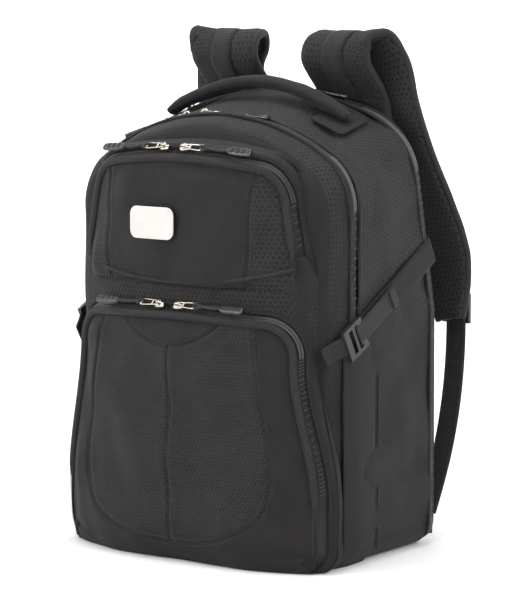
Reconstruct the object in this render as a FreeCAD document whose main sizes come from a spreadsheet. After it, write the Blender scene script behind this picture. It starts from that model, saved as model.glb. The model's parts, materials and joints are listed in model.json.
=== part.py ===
import FreeCAD, Part
import math
import os

import Sketcher

# School backpack with three compartments.  +Z up, front towards -Y, the wearer's back at +Y.
# The origin lies on the floor under the bag.  All lengths are millimetres.

V = FreeCAD.Vector
doc = FreeCAD.newDocument("school_backpack")
sheet = doc.addObject("Spreadsheet::Sheet", "Sheet")

DIMENSIONS = {
    # main shell: outline at the main zip and at the rear, seen from the front
    "wall": 3, "clearance": 0.5,
    "main_half_width": 167, "main_top": 453, "main_crown": 265, "main_corner": 60,
    "rear_half_width": 157, "rear_top": 489, "rear_crown": 350, "rear_corner": 70,
    "face_half_width": 160, "face_top": 442,
    "low_corner": 26,
    "face_y": -46, "main_zip_y": -13, "shell_front_y": -8, "shell_rear_y": 150,
    "side_low": 30, "side_high": 330,
    # leaning back panel
    "back_half_width": 155, "back_top": 476, "back_thickness": 8,
    "back_low_y": 150, "back_bend_height": 250, "back_top_y": 102,
    "laptop_depth": 30, "divider_thickness": 4, "divider_top": 440,
    # zips
    "zip_width": 5, "main_zip_low": 222, "rear_zip_thickness": 5,
    # lower pocket
    "lower_half_width": 160, "lower_bottom": 0, "lower_top": 266, "lower_crown": 2000,
    "lower_corner": 46, "lower_side_y": -66, "lower_front_y": -103, "lower_fold": 82,
    "sole_under": -0.6, "pocket_slider_lean": 42, "pocket_slider_rise": 3.4,
    "base_front_y": -80, "base_rise": 48,
    # upper pocket
    "upper_half_width": 148, "upper_bottom": 276, "upper_top": 426, "upper_crown": 700,
    "upper_corner": 48, "upper_side_y": -70, "upper_front_y": -93, "upper_fold": 324,
    "flap_rim": 10,
    # straps, bands and webbing
    "strap_width": 84, "strap_thickness": 13, "webbing_wide": 28, "webbing": 25,
    "webbing_thickness": 1.6, "band_width": 24,
    "handle_width": 20, "handle_thickness": 12,
    # pads on the back panel
    "pad_width": 96, "pad_height": 300, "pad_thickness": 8, "pad_low": 110, "pad_offset": 70,
    "lumbar_width": 250, "lumbar_height": 70, "lumbar_low": 25,
    # yoke over the strap roots, strap tabs and handle anchors
    "yoke_width": 240, "yoke_height": 34, "yoke_thickness": 3,
    "tab_width": 34, "tab_height": 46, "tab_thickness": 3,
    "anchor_length": 34, "anchor_width": 42, "anchor_thickness": 1.6,
    "rivet_radius": 4.6, "rivet_height": 2.4,
    # buckles
    "buckle_width": 34, "buckle_height": 32, "buckle_thickness": 4.5,
    "slot_width": 26, "slot_height": 6, "bar_height": 4,
    # zip sliders and pulls
    "slider_length": 11, "slider_width": 8, "slider_height": 3.2,
    "bridge_radius": 4.6, "bridge_hole": 2.6, "bridge_thickness": 2.2,
    "pin_radius": 0.8, "pin_length": 7.4, "pin_height": 4.4,
    "link_length": 22, "prong_width": 1.5, "prong_height": 1.3,
    "cord_radius": 1.5, "cord_length": 36, "tab_long": 29, "tab_wide": 10, "tab_thick": 4.4,
}

for row, (alias, value) in enumerate(DIMENSIONS.items(), start=1):
    sheet.set(f"A{row}", alias)
    sheet.set(f"B{row}", str(value))
    sheet.setAlias(f"B{row}", alias)
doc.recompute()


def val(expression):
    """Number that a sheet expression stands for, such as 'main_top-wall'."""
    terms = expression.replace("-", "+-").split("+")
    total = 0.0
    for term in filter(None, terms):
        sign = -1 if term.startswith("-") else 1
        name = term.lstrip("-")
        total += sign * (DIMENSIONS[name] if name in DIMENSIONS else float(name))
    return total


def bound(expression):
    """The same expression written for setExpression."""
    text = expression
    for name in sorted(DIMENSIONS, key=len, reverse=True):
        text = text.replace(name, "\0" + str(list(DIMENSIONS).index(name)) + "\1")
    for index, name in enumerate(DIMENSIONS):
        text = text.replace("\0" + str(index) + "\1", "Sheet." + name)
    return text


def bind(obj, prop, expression):
    obj.setExpression(prop, bound(expression))


# ---------------------------------------------------------------- sketches and solids

def new_body(name):
    return doc.addObject("PartDesign::Body", name)


def new_sketch(body, name, plane, offset=None):
    """Sketch on an origin plane, pushed along that plane's normal by a sheet expression."""
    sketch = body.newObject("Sketcher::SketchObject", name)
    support = next(f for f in body.Origin.OriginFeatures if f.Role == plane)
    sketch.AttachmentSupport = [(support, "")]
    sketch.MapMode = "FlatFace"
    if offset:
        bind(sketch, "AttachmentOffset.Base.z", offset)
    return sketch


def dimension(sketch, label, constraint, expression):
    sketch.addConstraint(constraint)
    sketch.renameConstraint(sketch.ConstraintCount - 1, label)
    sketch.setExpression("Constraints." + label, bound(expression))


def draw_arch(sketch, half_width, bottom, top, crown, corner, low_corner):
    """Front-view outline of a bag panel: straight sides, round corners and a crowned top."""
    hw, zb, zt, rc, rt, rb = map(val, (half_width, bottom, top, crown, corner, low_corner))
    crown_z = zt - rc
    corner_z = crown_z + math.sqrt((rc - rt) ** 2 - (hw - rt) ** 2)
    lean = math.atan2(corner_z - crown_z, hw - rt)
    up = V(0, 0, 1)
    sketch.addGeometry([
        Part.LineSegment(V(rb - hw, zb, 0), V(hw - rb, zb, 0)),
        Part.ArcOfCircle(Part.Circle(V(hw - rb, zb + rb, 0), up, rb), -math.pi / 2, 0),
        Part.LineSegment(V(hw, zb + rb, 0), V(hw, corner_z, 0)),
        Part.ArcOfCircle(Part.Circle(V(hw - rt, corner_z, 0), up, rt), 0, lean),
        Part.ArcOfCircle(Part.Circle(V(0, crown_z, 0), up, rc), lean, math.pi - lean),
        Part.ArcOfCircle(Part.Circle(V(rt - hw, corner_z, 0), up, rt), math.pi - lean, math.pi),
        Part.LineSegment(V(-hw, corner_z, 0), V(-hw, zb + rb, 0)),
        Part.ArcOfCircle(Part.Circle(V(rb - hw, zb + rb, 0), up, rb), math.pi, 1.5 * math.pi),
    ], False)
    bottom_edge, right_low, right_side, right_top, crown_arc, left_top, left_side, left_low = range(8)
    for edge in range(8):
        sketch.addConstraint(Sketcher.Constraint("Tangent", edge, 2, (edge + 1) % 8, 1))
    sketch.addConstraint(Sketcher.Constraint("Horizontal", bottom_edge))
    sketch.addConstraint(Sketcher.Constraint("Vertical", right_side))
    sketch.addConstraint(Sketcher.Constraint("Vertical", left_side))
    sketch.addConstraint(Sketcher.Constraint("Equal", right_low, left_low))
    sketch.addConstraint(Sketcher.Constraint("Equal", right_top, left_top))
    origin = (-1, 1)
    dimension(sketch, "low_corner", Sketcher.Constraint("Radius", right_low, rb), low_corner)
    dimension(sketch, "corner", Sketcher.Constraint("Radius", right_top, rt), corner)
    dimension(sketch, "crown", Sketcher.Constraint("Radius", crown_arc, rc), crown)
    dimension(sketch, "right", Sketcher.Constraint("DistanceX", *origin, right_side, 1, hw), half_width)
    dimension(sketch, "left", Sketcher.Constraint("DistanceX", left_side, 1, *origin, hw), half_width)
    dimension(sketch, "bottom", Sketcher.Constraint("DistanceY", *origin, bottom_edge, 1, zb), bottom)
    crown_drop = f"{top}-({crown})"
    sketch.addConstraint(Sketcher.Constraint("DistanceY", *origin, crown_arc, 3, zt - rc))
    sketch.renameConstraint(sketch.ConstraintCount - 1, "crown_centre")
    sketch.setExpression("Constraints.crown_centre", bound(crown_drop))


def arch_prism(name, outline, y_from, y_to):
    """Arch outline padded along Y from y_from to y_to."""
    body = new_body(name)
    sketch = new_sketch(body, name + "_outline", "XZ_Plane", f"-({y_to})")
    draw_arch(sketch, *outline)
    pad = body.newObject("PartDesign::Pad", name + "_pad")
    pad.Profile = sketch
    bind(pad, "Length", f"({y_to})-({y_from})")
    return body


def arch_loft(name, front, rear, y_from, y_to):
    """Solid that runs straight from one arch outline to another."""
    body = new_body(name)
    first = new_sketch(body, name + "_front", "XZ_Plane", f"-({y_from})")
    draw_arch(first, *front)
    last = new_sketch(body, name + "_rear", "XZ_Plane", f"-({y_to})")
    draw_arch(last, *rear)
    loft = body.newObject("PartDesign::AdditiveLoft", name + "_loft")
    loft.Profile = first
    loft.Sections = [last]
    loft.Ruled = True
    return body


def inset(outline, amount):
    """The same arch, smaller by an amount all round."""
    half_width, bottom, top, crown, corner, low_corner = outline
    return (f"{half_width}-{amount}", f"{bottom}+{amount}", f"{top}-{amount}",
            f"{crown}-{amount}", f"{corner}-{amount}", f"{low_corner}-{amount}")


def polygon_pad(name, plane, points, length, midplane=True, offset=None):
    """Closed polygon of sheet expressions (u, v) on an origin plane, padded."""
    body = new_body(name)
    sketch = new_sketch(body, name + "_profile", plane, offset)
    spots = [V(val(u), val(v), 0) for u, v in points]
    count = len(spots)
    for i in range(count):
        sketch.addGeometry(Part.LineSegment(spots[i], spots[(i + 1) % count]), False)
    for i in range(count):
        sketch.addConstraint(Sketcher.Constraint("Coincident", i, 2, (i + 1) % count, 1))
    for i, (u, v) in enumerate(points):
        dimension(sketch, f"u{i}", Sketcher.Constraint("DistanceX", -1, 1, i, 1, spots[i].x), u)
        dimension(sketch, f"v{i}", Sketcher.Constraint("DistanceY", -1, 1, i, 1, spots[i].y), v)
    pad = body.newObject("PartDesign::Pad", name + "_pad")
    pad.Profile = sketch
    pad.Midplane = midplane
    bind(pad, "Length", length)
    return body


def boolean(kind, name, base, tool):
    result = doc.addObject("Part::" + kind, name)
    result.Base = base
    result.Tool = tool
    return result


def box(name, low, high):
    """Box between two corners, each a triple of sheet expressions."""
    solid = doc.addObject("Part::Box", name)
    for prop, axis in (("Length", 0), ("Width", 1), ("Height", 2)):
        bind(solid, prop, f"({high[axis]})-({low[axis]})")
    for axis, key in enumerate("xyz"):
        bind(solid, "Placement.Base." + key, low[axis])
    return solid


nodes = []


def node(obj):
    """Registers a finished sub-part under its own label."""
    obj.Label = obj.Name
    nodes.append(obj)
    return obj


# ---------------------------------------------------------------- shell of the main section

FAR = "300"
MAIN = ("main_half_width", "sole_under", "main_top", "main_crown", "main_corner", "low_corner")
REAR = ("rear_half_width", "sole_under", "rear_top", "rear_crown", "rear_corner", "low_corner")
FACE = ("face_half_width", "0", "face_top", "main_crown", "main_corner", "low_corner")


def ring(name, front, rear, y_from, y_to):
    """Fabric tube between two arch outlines, open at both ends."""
    outer = arch_loft(name + "_outer", front, rear, y_from, y_to)
    inner = arch_loft(name + "_inner", inset(front, "wall"), inset(rear, "wall"), y_from, y_to)
    return boolean("Cut", name, outer, inner)


def lean_band(name, ahead, thickness):
    """Side-view strip that follows the back panel, its rear face `ahead` of the panel's rear."""
    low, top = f"back_low_y-{ahead}", f"back_top_y-{ahead}"
    profile = [(low, "0"), (low, "back_bend_height"), (top, "back_top"),
               (f"{top}-{thickness}", "back_top"), (f"{low}-{thickness}", "back_bend_height"),
               (f"{low}-{thickness}", "0")]
    return polygon_pad(name, "YZ_Plane", profile, "500")


def rear_space(name, ahead):
    """Everything behind the leaning plane `ahead` of the back panel's rear face."""
    profile = [(f"back_low_y-{ahead}", "-20"), (f"back_low_y-{ahead}", "back_bend_height"),
               (f"back_top_y-{ahead}", "back_top"), (f"back_top_y-{ahead}-8.5", "back_top+40"),
               (FAR, "back_top+40"), (FAR, "-20")]
    return polygon_pad(name, "YZ_Plane", profile, "500")


def split_ring(source, prefix, y_from, y_to):
    """Cuts a ring into base, two sides and top, each a node of its own."""
    parts = {
        "base": (("-200", y_from, "-1"), ("200", y_to, "side_low")),
        "side_left": (("-200", y_from, "side_low"), ("0", y_to, "side_high")),
        "side_right": (("0", y_from, "side_low"), ("200", y_to, "side_high")),
        "top": (("-200", y_from, "side_high"), ("200", y_to, "520")),
    }
    for part, (low, high) in parts.items():
        cutter = box(f"{prefix}_{part}_cutter", low, high)
        node(boolean("Common", f"{prefix}_{part}", source, cutter))


def make_main_shell():
    tube = ring("shell_tube", MAIN, REAR, "shell_front_y", "shell_rear_y")
    behind = rear_space("shell_end", "back_thickness-rear_zip_thickness-clearance-clearance")
    shell_cut = boolean("Cut", "shell_cut", tube, behind)
    below = box("shell_below", ("-250", "-100", "-30"), ("250", "300", "0"))
    shell = boolean("Cut", "shell", shell_cut, below)
    split_ring(shell, "shell", "-50", "200")


def make_divider():
    ahead = "back_thickness-laptop_depth"
    band = lean_band("divider_band", ahead, "divider_thickness")
    outline = ("rear_half_width-wall-wall", "wall+1", "divider_top", "rear_crown", "rear_corner", "low_corner")
    prism = arch_prism("divider_outline", outline, "0", "back_low_y")
    node(boolean("Common", "divider_panel", band, prism))


def make_main_zip():
    y_from, y_to = "main_zip_y+0.4", "shell_front_y-0.2"
    outer = arch_prism("main_zip_outer", MAIN, y_from, y_to)
    inner = arch_prism("main_zip_inner", inset(MAIN, "zip_width"), y_from, y_to)
    loop = boolean("Cut", "main_zip_loop", outer, inner)
    above = box("main_zip_above", ("-200", "-30", "main_zip_low"), ("200", "10", "520"))
    node(boolean("Common", "main_zip", loop, above))


# ---------------------------------------------------------------- back section

def back_outline(shrink):
    return (f"back_half_width-{shrink}", "0", f"back_top-{shrink}", "rear_crown", "rear_corner", "low_corner")


def make_back_panel():
    band = lean_band("back_band", "0", "back_thickness")
    prism = arch_prism("back_outline", back_outline("0"), "0", "back_low_y+1")
    node(boolean("Common", "back_panel", band, prism))


def make_rear_zip():
    band = lean_band("rear_zip_band", "back_thickness-clearance", "rear_zip_thickness")
    outer = arch_prism("rear_zip_outer", back_outline("0"), "0", "back_low_y")
    inner = arch_prism("rear_zip_inner", inset(back_outline("0"), "zip_width"), "0", "back_low_y")
    loop = boolean("Cut", "rear_zip_loop", outer, inner)
    node(boolean("Common", "rear_zip", band, loop))


def rounded_pad(name, width, height, thickness, corner):
    """Flat cushion: a rectangle in the XZ plane, padded towards +Y, with round corners."""
    body = new_body(name)
    sketch = new_sketch(body, name + "_outline", "XZ_Plane")
    w, h = val(width) / 2, val(height)
    spots = [V(-w, 0, 0), V(w, 0, 0), V(w, h, 0), V(-w, h, 0)]
    for i in range(4):
        sketch.addGeometry(Part.LineSegment(spots[i], spots[(i + 1) % 4]), False)
    for i in range(4):
        sketch.addConstraint(Sketcher.Constraint("Coincident", i, 2, (i + 1) % 4, 1))
        kind = "Horizontal" if i % 2 == 0 else "Vertical"
        sketch.addConstraint(Sketcher.Constraint(kind, i))
    sketch.addConstraint(Sketcher.Constraint("Symmetric", 0, 1, 0, 2, -1, 1))
    dimension(sketch, "width", Sketcher.Constraint("DistanceX", 0, 1, 0, 2, 2 * w), width)
    dimension(sketch, "height", Sketcher.Constraint("DistanceY", 1, 1, 1, 2, h), height)
    pad = body.newObject("PartDesign::Pad", name + "_pad")
    pad.Profile = sketch
    pad.Reversed = True
    bind(pad, "Length", thickness)
    doc.recompute()
    upright = []
    for index, edge in enumerate(pad.Shape.Edges, start=1):
        span = edge.Vertexes[1].Point - edge.Vertexes[0].Point
        if abs(span.x) + abs(span.z) < 0.01:
            upright.append(f"Edge{index}")
    fillet = body.newObject("PartDesign::Fillet", name + "_corners")
    fillet.Base = (pad, upright)
    bind(fillet, "Radius", corner)
    return body


def place(obj, position, rotation=None):
    obj.Placement = FreeCAD.Placement(V(*position), rotation or FreeCAD.Rotation())


def make_back_pads():
    rear = val("back_low_y+0.4")
    lumbar = node(rounded_pad("lumbar_pad", "lumbar_width", "lumbar_height", "pad_thickness", "18"))
    place(lumbar, (0, rear, val("lumbar_low")))
    for side, name in ((-1, "back_pad_left"), (1, "back_pad_right")):
        pad = node(rounded_pad(name, "pad_width", "pad_height-150", "pad_thickness", "20"))
        place(pad, (side * val("pad_offset"), rear, val("pad_low-10")))
    rise, run = val("back_top-back_bend_height"), val("back_top_y-back_low_y")
    lean = math.degrees(math.atan2(-run, rise))
    upper = node(rounded_pad("back_pad_upper", "pad_width+pad_offset+pad_offset", "140", "pad_thickness", "20"))
    start = V(0, val("back_low_y"), val("back_bend_height")) + V(0, run, rise) * 0.08
    place(upper, start + V(0, 0.6, 0), FreeCAD.Rotation(V(1, 0, 0), lean))
    yoke = node(rounded_pad("strap_yoke", "yoke_width", "yoke_height", "yoke_thickness", "8"))
    start = V(0, val("back_low_y"), val("back_bend_height")) + V(0, run, rise) * 0.82
    place(yoke, start + V(0, 0.6, 0), FreeCAD.Rotation(V(1, 0, 0), lean))


def make_strap_tabs():
    """Triangular fabric tabs in the lower rear corners that hold the strap webbing."""
    for side, name in ((-1, "strap_tab_left"), (1, "strap_tab_right")):
        outer, inner = f"{side}*(back_half_width-6)", f"{side}*(back_half_width-6-tab_width)"
        body = new_body(name)
        sketch = new_sketch(body, name + "_outline", "XZ_Plane", "-(back_low_y+0.4+tab_thickness)")
        x_out = side * val("back_half_width-6")
        x_in = side * val("back_half_width-6-tab_width")
        low, high = 9, 9 + val("tab_height")
        spots = [V(x_in, low, 0), V(x_out, low, 0), V(x_out, high, 0)]
        for i in range(3):
            sketch.addGeometry(Part.LineSegment(spots[i], spots[(i + 1) % 3]), False)
        for i in range(3):
            sketch.addConstraint(Sketcher.Constraint("Coincident", i, 2, (i + 1) % 3, 1))
        for i, (u, v) in enumerate(((inner, "9"), (outer, "9"), (outer, "9+tab_height"))):
            dimension(sketch, f"u{i}", Sketcher.Constraint("DistanceX", -1, 1, i, 1, spots[i].x), u)
            dimension(sketch, f"v{i}", Sketcher.Constraint("DistanceY", -1, 1, i, 1, spots[i].y), v)
        pad = body.newObject("PartDesign::Pad", name + "_pad")
        pad.Profile = sketch
        bind(pad, "Length", "tab_thickness")
        node(body)


# ---------------------------------------------------------------- front section and pockets

def make_front_shell():
    tube = ring("front", FACE, MAIN, "face_y", "main_zip_y")
    below = box("front_below", ("-250", "-200", "-30"), ("250", "100", "0"))
    split_ring(boolean("Cut", "front_above_floor", tube, below), "front", "-80", "20")
    wall = arch_prism("front_wall", FACE, "face_y-0.2-wall", "face_y-0.2")
    node(wall)


def plan_pad(name, side_y, front_y, half_width, back_y, low, high):
    """Plan-view shape with a bulging front arc, padded from z=low to z=high."""
    body = new_body(name)
    sketch = new_sketch(body, name + "_plan", "XY_Plane", low)
    hw, ys, yf, yb = map(val, (half_width, side_y, front_y, back_y))
    sag = ys - yf
    radius = (hw ** 2 + sag ** 2) / (2 * sag)
    spread = math.asin(hw / radius)
    arc = Part.ArcOfCircle(Part.Circle(V(0, yf + radius, 0), V(0, 0, 1), radius),
                           -math.pi / 2 - spread, -math.pi / 2 + spread)
    sketch.addGeometry([
        arc,
        Part.LineSegment(V(hw, ys, 0), V(hw, yb, 0)),
        Part.LineSegment(V(hw, yb, 0), V(-hw, yb, 0)),
        Part.LineSegment(V(-hw, yb, 0), V(-hw, ys, 0)),
    ], False)
    for edge in range(4):
        sketch.addConstraint(Sketcher.Constraint("Coincident", edge, 2, (edge + 1) % 4, 1))
    sketch.addConstraint(Sketcher.Constraint("Vertical", 1))
    sketch.addConstraint(Sketcher.Constraint("Horizontal", 2))
    sketch.addConstraint(Sketcher.Constraint("Vertical", 3))
    sketch.addConstraint(Sketcher.Constraint("PointOnObject", 0, 3, -2))
    dimension(sketch, "right", Sketcher.Constraint("DistanceX", -1, 1, 1, 1, hw), half_width)
    dimension(sketch, "side_y", Sketcher.Constraint("DistanceY", -1, 1, 1, 1, ys), side_y)
    dimension(sketch, "back_y", Sketcher.Constraint("DistanceY", -1, 1, 2, 1, yb), back_y)
    bulge = f"(({half_width})^2+(({side_y})-({front_y}))^2)/(2*(({side_y})-({front_y})))"
    dimension(sketch, "bulge", Sketcher.Constraint("Radius", 0, radius), bulge)
    pad = body.newObject("PartDesign::Pad", name + "_pad")
    pad.Profile = sketch
    bind(pad, "Length", f"({high})-({low})")
    return body


def front_region(name, pocket, depth, low):
    """All space in front of the pocket's bulging face pushed back by depth, above z=low."""
    body = new_body(name)
    sketch = new_sketch(body, name + "_plan", "XY_Plane", low)
    hw = val(pocket + "_half_width")
    ys, yf, back = val(pocket + "_side_y"), val(pocket + "_front_y"), val(depth)
    sag = ys - yf
    radius = (hw ** 2 + sag ** 2) / (2 * sag)
    spread = math.asin(200 / radius)
    centre = yf + back + radius
    edge_y = centre - radius * math.cos(spread)
    sketch.addGeometry([
        Part.ArcOfCircle(Part.Circle(V(0, centre, 0), V(0, 0, 1), radius),
                         -math.pi / 2 - spread, -math.pi / 2 + spread),
        Part.LineSegment(V(200, edge_y, 0), V(200, -200, 0)),
        Part.LineSegment(V(200, -200, 0), V(-200, -200, 0)),
        Part.LineSegment(V(-200, -200, 0), V(-200, edge_y, 0)),
    ], False)
    for edge in range(4):
        sketch.addConstraint(Sketcher.Constraint("Coincident", edge, 2, (edge + 1) % 4, 1))
    sketch.addConstraint(Sketcher.Constraint("Vertical", 1))
    sketch.addConstraint(Sketcher.Constraint("Horizontal", 2))
    sketch.addConstraint(Sketcher.Constraint("Vertical", 3))
    sketch.addConstraint(Sketcher.Constraint("PointOnObject", 0, 3, -2))
    sketch.addConstraint(Sketcher.Constraint("DistanceX", -1, 1, 1, 1, 200))
    sketch.addConstraint(Sketcher.Constraint("DistanceY", 1, 2, -1, 1, 200))
    sagitta = f"({pocket}_side_y-({pocket}_front_y))"
    bulge = f"({pocket}_half_width^2+{sagitta}^2)/(2*{sagitta})"
    dimension(sketch, "bulge", Sketcher.Constraint("Radius", 0, radius), bulge)
    centre_rule = f"{pocket}_front_y+{depth}+{bulge}"
    dimension(sketch, "centre", Sketcher.Constraint("DistanceY", -1, 1, 0, 3, centre), centre_rule)
    pad = body.newObject("PartDesign::Pad", name + "_pad")
    pad.Profile = sketch
    bind(pad, "Length", "300")
    return body


def base_wedge(name, inward):
    """Space under the rising front of the lower pocket's floor, moved inward by an amount."""
    profile = [(f"base_front_y+{inward}", "-1"), (f"lower_front_y+{inward}-10", "base_rise+17"),
               ("lower_front_y-60", "base_rise+17"), ("lower_front_y-60", "-1")]
    return polygon_pad(name, "YZ_Plane", profile, "500")


def make_pocket(pocket):
    """One zipped pocket: fixed pouch, zip loop and a flap that folds forward."""
    outline = tuple(f"{pocket}_{key}" for key in ("half_width", "bottom", "top", "crown", "corner"))
    low_corner = "low_corner" if pocket == "lower" else "8"
    outline = outline + (low_corner,)
    back_y = "face_y-0.4-wall"
    low, high = f"{pocket}_bottom-5", f"{pocket}_top+5"
    side_y, front_y, half_width = (f"{pocket}_{key}" for key in ("side_y", "front_y", "half_width"))

    def solid(name, shrink, rear):
        plan = plan_pad(name + "_plan_pad", f"{side_y}+{shrink}", f"{front_y}+{shrink}",
                        f"{half_width}+5", rear, low, high)
        frame = arch_prism(name + "_frame", inset(outline, shrink), f"{front_y}-20", rear)
        return boolean("Common", name, plan, frame)

    outer = solid(pocket + "_outer", "0", back_y)
    inner = solid(pocket + "_inner", "wall", back_y)
    if pocket == "lower":
        outer = boolean("Cut", "lower_outer_raised", outer, base_wedge("lower_wedge", "0"))
        inner = boolean("Cut", "lower_inner_raised", inner, base_wedge("lower_wedge_inner", "5"))
    shell = boolean("Cut", pocket + "_shell", outer, inner)
    fold = f"{pocket}_fold"
    moving = front_region(pocket + "_moving", pocket, "flap_rim", f"{fold}+2")
    fixed = front_region(pocket + "_fixed", pocket, "flap_rim+4.4", f"{fold}-2")
    node(boolean("Common", pocket + "_pocket_flap", shell, moving))
    node(boolean("Cut", pocket + "_pocket_pouch", shell, fixed))
    loop_outer = arch_prism(pocket + "_loop_outer", outline, f"{front_y}-20", back_y)
    loop_inner = arch_prism(pocket + "_loop_inner", inset(outline, "zip_width"), f"{front_y}-20", back_y)
    loop = boolean("Cut", pocket + "_loop", loop_outer, loop_inner)
    ahead = front_region(pocket + "_ahead", pocket, "flap_rim+0.4", f"{fold}-20")
    behind = front_region(pocket + "_behind", pocket, "flap_rim+4", f"{fold}+2")
    slab = boolean("Cut", pocket + "_zip_slab", behind, ahead)
    node(boolean("Common", pocket + "_zip", loop, slab))


# ---------------------------------------------------------------- ribbons: straps and webbing

def ribbon(name, route, width, thickness, across, scale=None):
    """Strap of rectangular section through hand-set stations; `across` is its width direction."""
    sections = []
    spots = [V(*p) for p in route]
    for index, spot in enumerate(spots):
        before, after = spots[max(index - 1, 0)], spots[min(index + 1, len(spots) - 1)]
        along = (after - before).normalize()
        wide = V(*across) - along * V(*across).dot(along)
        wide.normalize()
        normal = along.cross(wide)
        factor = scale[index] if scale else 1.0
        sketch = doc.addObject("Sketcher::SketchObject", f"{name}_station_{index}")
        w, d = val(width) * factor / 2, val(thickness) / 2
        corners = [V(-w, -d, 0), V(w, -d, 0), V(w, d, 0), V(-w, d, 0)]
        for i in range(4):
            sketch.addGeometry(Part.LineSegment(corners[i], corners[(i + 1) % 4]), False)
        for i in range(4):
            sketch.addConstraint(Sketcher.Constraint("Coincident", i, 2, (i + 1) % 4, 1))
            kind = "Horizontal" if i % 2 == 0 else "Vertical"
            sketch.addConstraint(Sketcher.Constraint(kind, i))
        sketch.addConstraint(Sketcher.Constraint("Symmetric", 0, 1, 1, 2, -1, 1))
        dimension(sketch, "wide", Sketcher.Constraint("DistanceX", 0, 1, 0, 2, 2 * w), f"({width})*{factor}")
        dimension(sketch, "deep", Sketcher.Constraint("DistanceY", 1, 1, 1, 2, 2 * d), thickness)
        sketch.Placement = FreeCAD.Placement(spot, FreeCAD.Rotation(wide, normal, along, "ZXY"))
        sections.append(sketch)
    strap = doc.addObject("Part::Loft", name)
    strap.Sections = sections
    strap.Solid = True
    strap.Ruled = True
    return node(strap)


def mirrored(route, side):
    return [(side * x, y, z) for x, y, z in route]


STRAP_ROUTE = [(74, 126, 446), (74, 118, 465), (74, 106, 483), (73.5, 93, 497), (73.5, 84, 510),
               (75, 86, 523), (79, 97, 531), (87, 111, 527), (96, 121, 508), (103, 130, 465),
               (108, 150, 415), (115, 178, 360), (127, 206, 290), (138, 204.5, 234)]
STRAP_TAPER = [1, 1, 1, 1, 1, 1, 1, 1, 1, 1, 0.97, 0.88, 0.72, 0.56]
WEBBING_ROUTE = [(87.0, 117.4, 533.7), (96.0, 129.9, 510.7), (103.0, 138.9, 467.8), (108.0, 158.5, 418.9),
                 (115.0, 186.5, 363.8), (127.0, 215.1, 291.9), (132.5, 214.4, 263.9)]
LOWER_ROUTE = [(139, 214, 222), (142, 203, 160), (143, 184, 95), (140, 160, 34)]
LOCK_SPOT = (136.5, 217.6, 243)


def make_shoulder_straps():
    for side, tag in ((-1, "left"), (1, "right")):
        ribbon(f"strap_pad_{tag}", mirrored(STRAP_ROUTE, side), "strap_width", "strap_thickness",
               (1, 0, 0), STRAP_TAPER)
        ribbon(f"strap_webbing_{tag}", mirrored(WEBBING_ROUTE, side), "webbing_wide",
               "webbing_thickness", (1, 0, 0))
        ribbon(f"lower_webbing_{tag}", mirrored(LOWER_ROUTE, side), "webbing",
               "webbing_thickness", (1, 0, 0))


HANDLE_ROUTE = [(-112, 47, 455.5), (-104, 47.5, 460), (-84, 48, 468.5), (-46, 48, 480.5), (0, 48, 486.5),
                (46, 48, 480.5), (84, 48, 468.5), (104, 47.5, 460), (112, 47, 455.5)]


def make_handle():
    ribbon("grab_handle", HANDLE_ROUTE, "handle_width", "handle_thickness", (0, 1, 0))
    for side, tag in ((-1, "left"), (1, "right")):
        anchor = node(rounded_pad(f"handle_anchor_{tag}", "anchor_width", "anchor_length",
                                  "anchor_thickness", "4"))
        lying = FreeCAD.Rotation(V(0, 0, 1), 90).multiply(FreeCAD.Rotation(V(1, 0, 0), 90))
        inner_x, outer_x = 89, 89 + val("anchor_length")
        start_x = inner_x if side > 0 else -outer_x
        place(anchor, (start_x, 48, top_surface(start_x, 48) + 1.2), top_slope(side).multiply(lying))


def top_surface(x, y):
    """Height of the shell's crowned top at (x, y)."""
    part_way = (y - val("shell_front_y")) / (val("shell_rear_y") - val("shell_front_y"))
    top = val("main_top") + part_way * val("rear_top-main_top")
    crown = val("main_crown") + part_way * val("rear_crown-main_crown")
    return top - crown + math.sqrt(crown ** 2 - x ** 2)


def top_slope(side):
    """Tilt of the shell's top where the handle is sewn on."""
    rise = math.degrees(math.atan2(val("rear_top-main_top"), val("shell_rear_y") - val("shell_front_y")))
    return FreeCAD.Rotation(V(1, 0, 0), rise).multiply(FreeCAD.Rotation(V(0, 1, 0), side * 21))


def make_rivets():
    pair = []
    for side in (-1, 1):
        rivet = doc.addObject("Part::Cylinder", "rivet_left" if side < 0 else "rivet_right")
        bind(rivet, "Radius", "rivet_radius")
        bind(rivet, "Height", "rivet_height")
        place(rivet, (side * 103, 63.5, top_surface(103, 63.5) + 3.6), top_slope(side))
        pair.append(rivet)
    both = doc.addObject("Part::Compound", "handle_rivets")
    both.Links = pair
    node(both)


BAND_ROUTE = [(168.2, 6, 246), (165.4, 60, 276), (161.4, 130, 312)]
FRONT_WEBBING_ROUTE = [(162.2, -52, 219), (166.6, -44, 223.5), (172.2, -36, 227.5)]
BUCKLE_SPOT = (174.5, -18, 235)


def make_compression_straps():
    for side, tag in ((-1, "left"), (1, "right")):
        ribbon(f"compression_band_{tag}", mirrored(BAND_ROUTE, side), "band_width",
               "webbing_thickness", (0, -0.45, 0.9))
        ribbon(f"compression_webbing_{tag}", mirrored(FRONT_WEBBING_ROUTE, side), "webbing-3",
               "webbing_thickness", (0, -0.45, 0.9))


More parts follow.
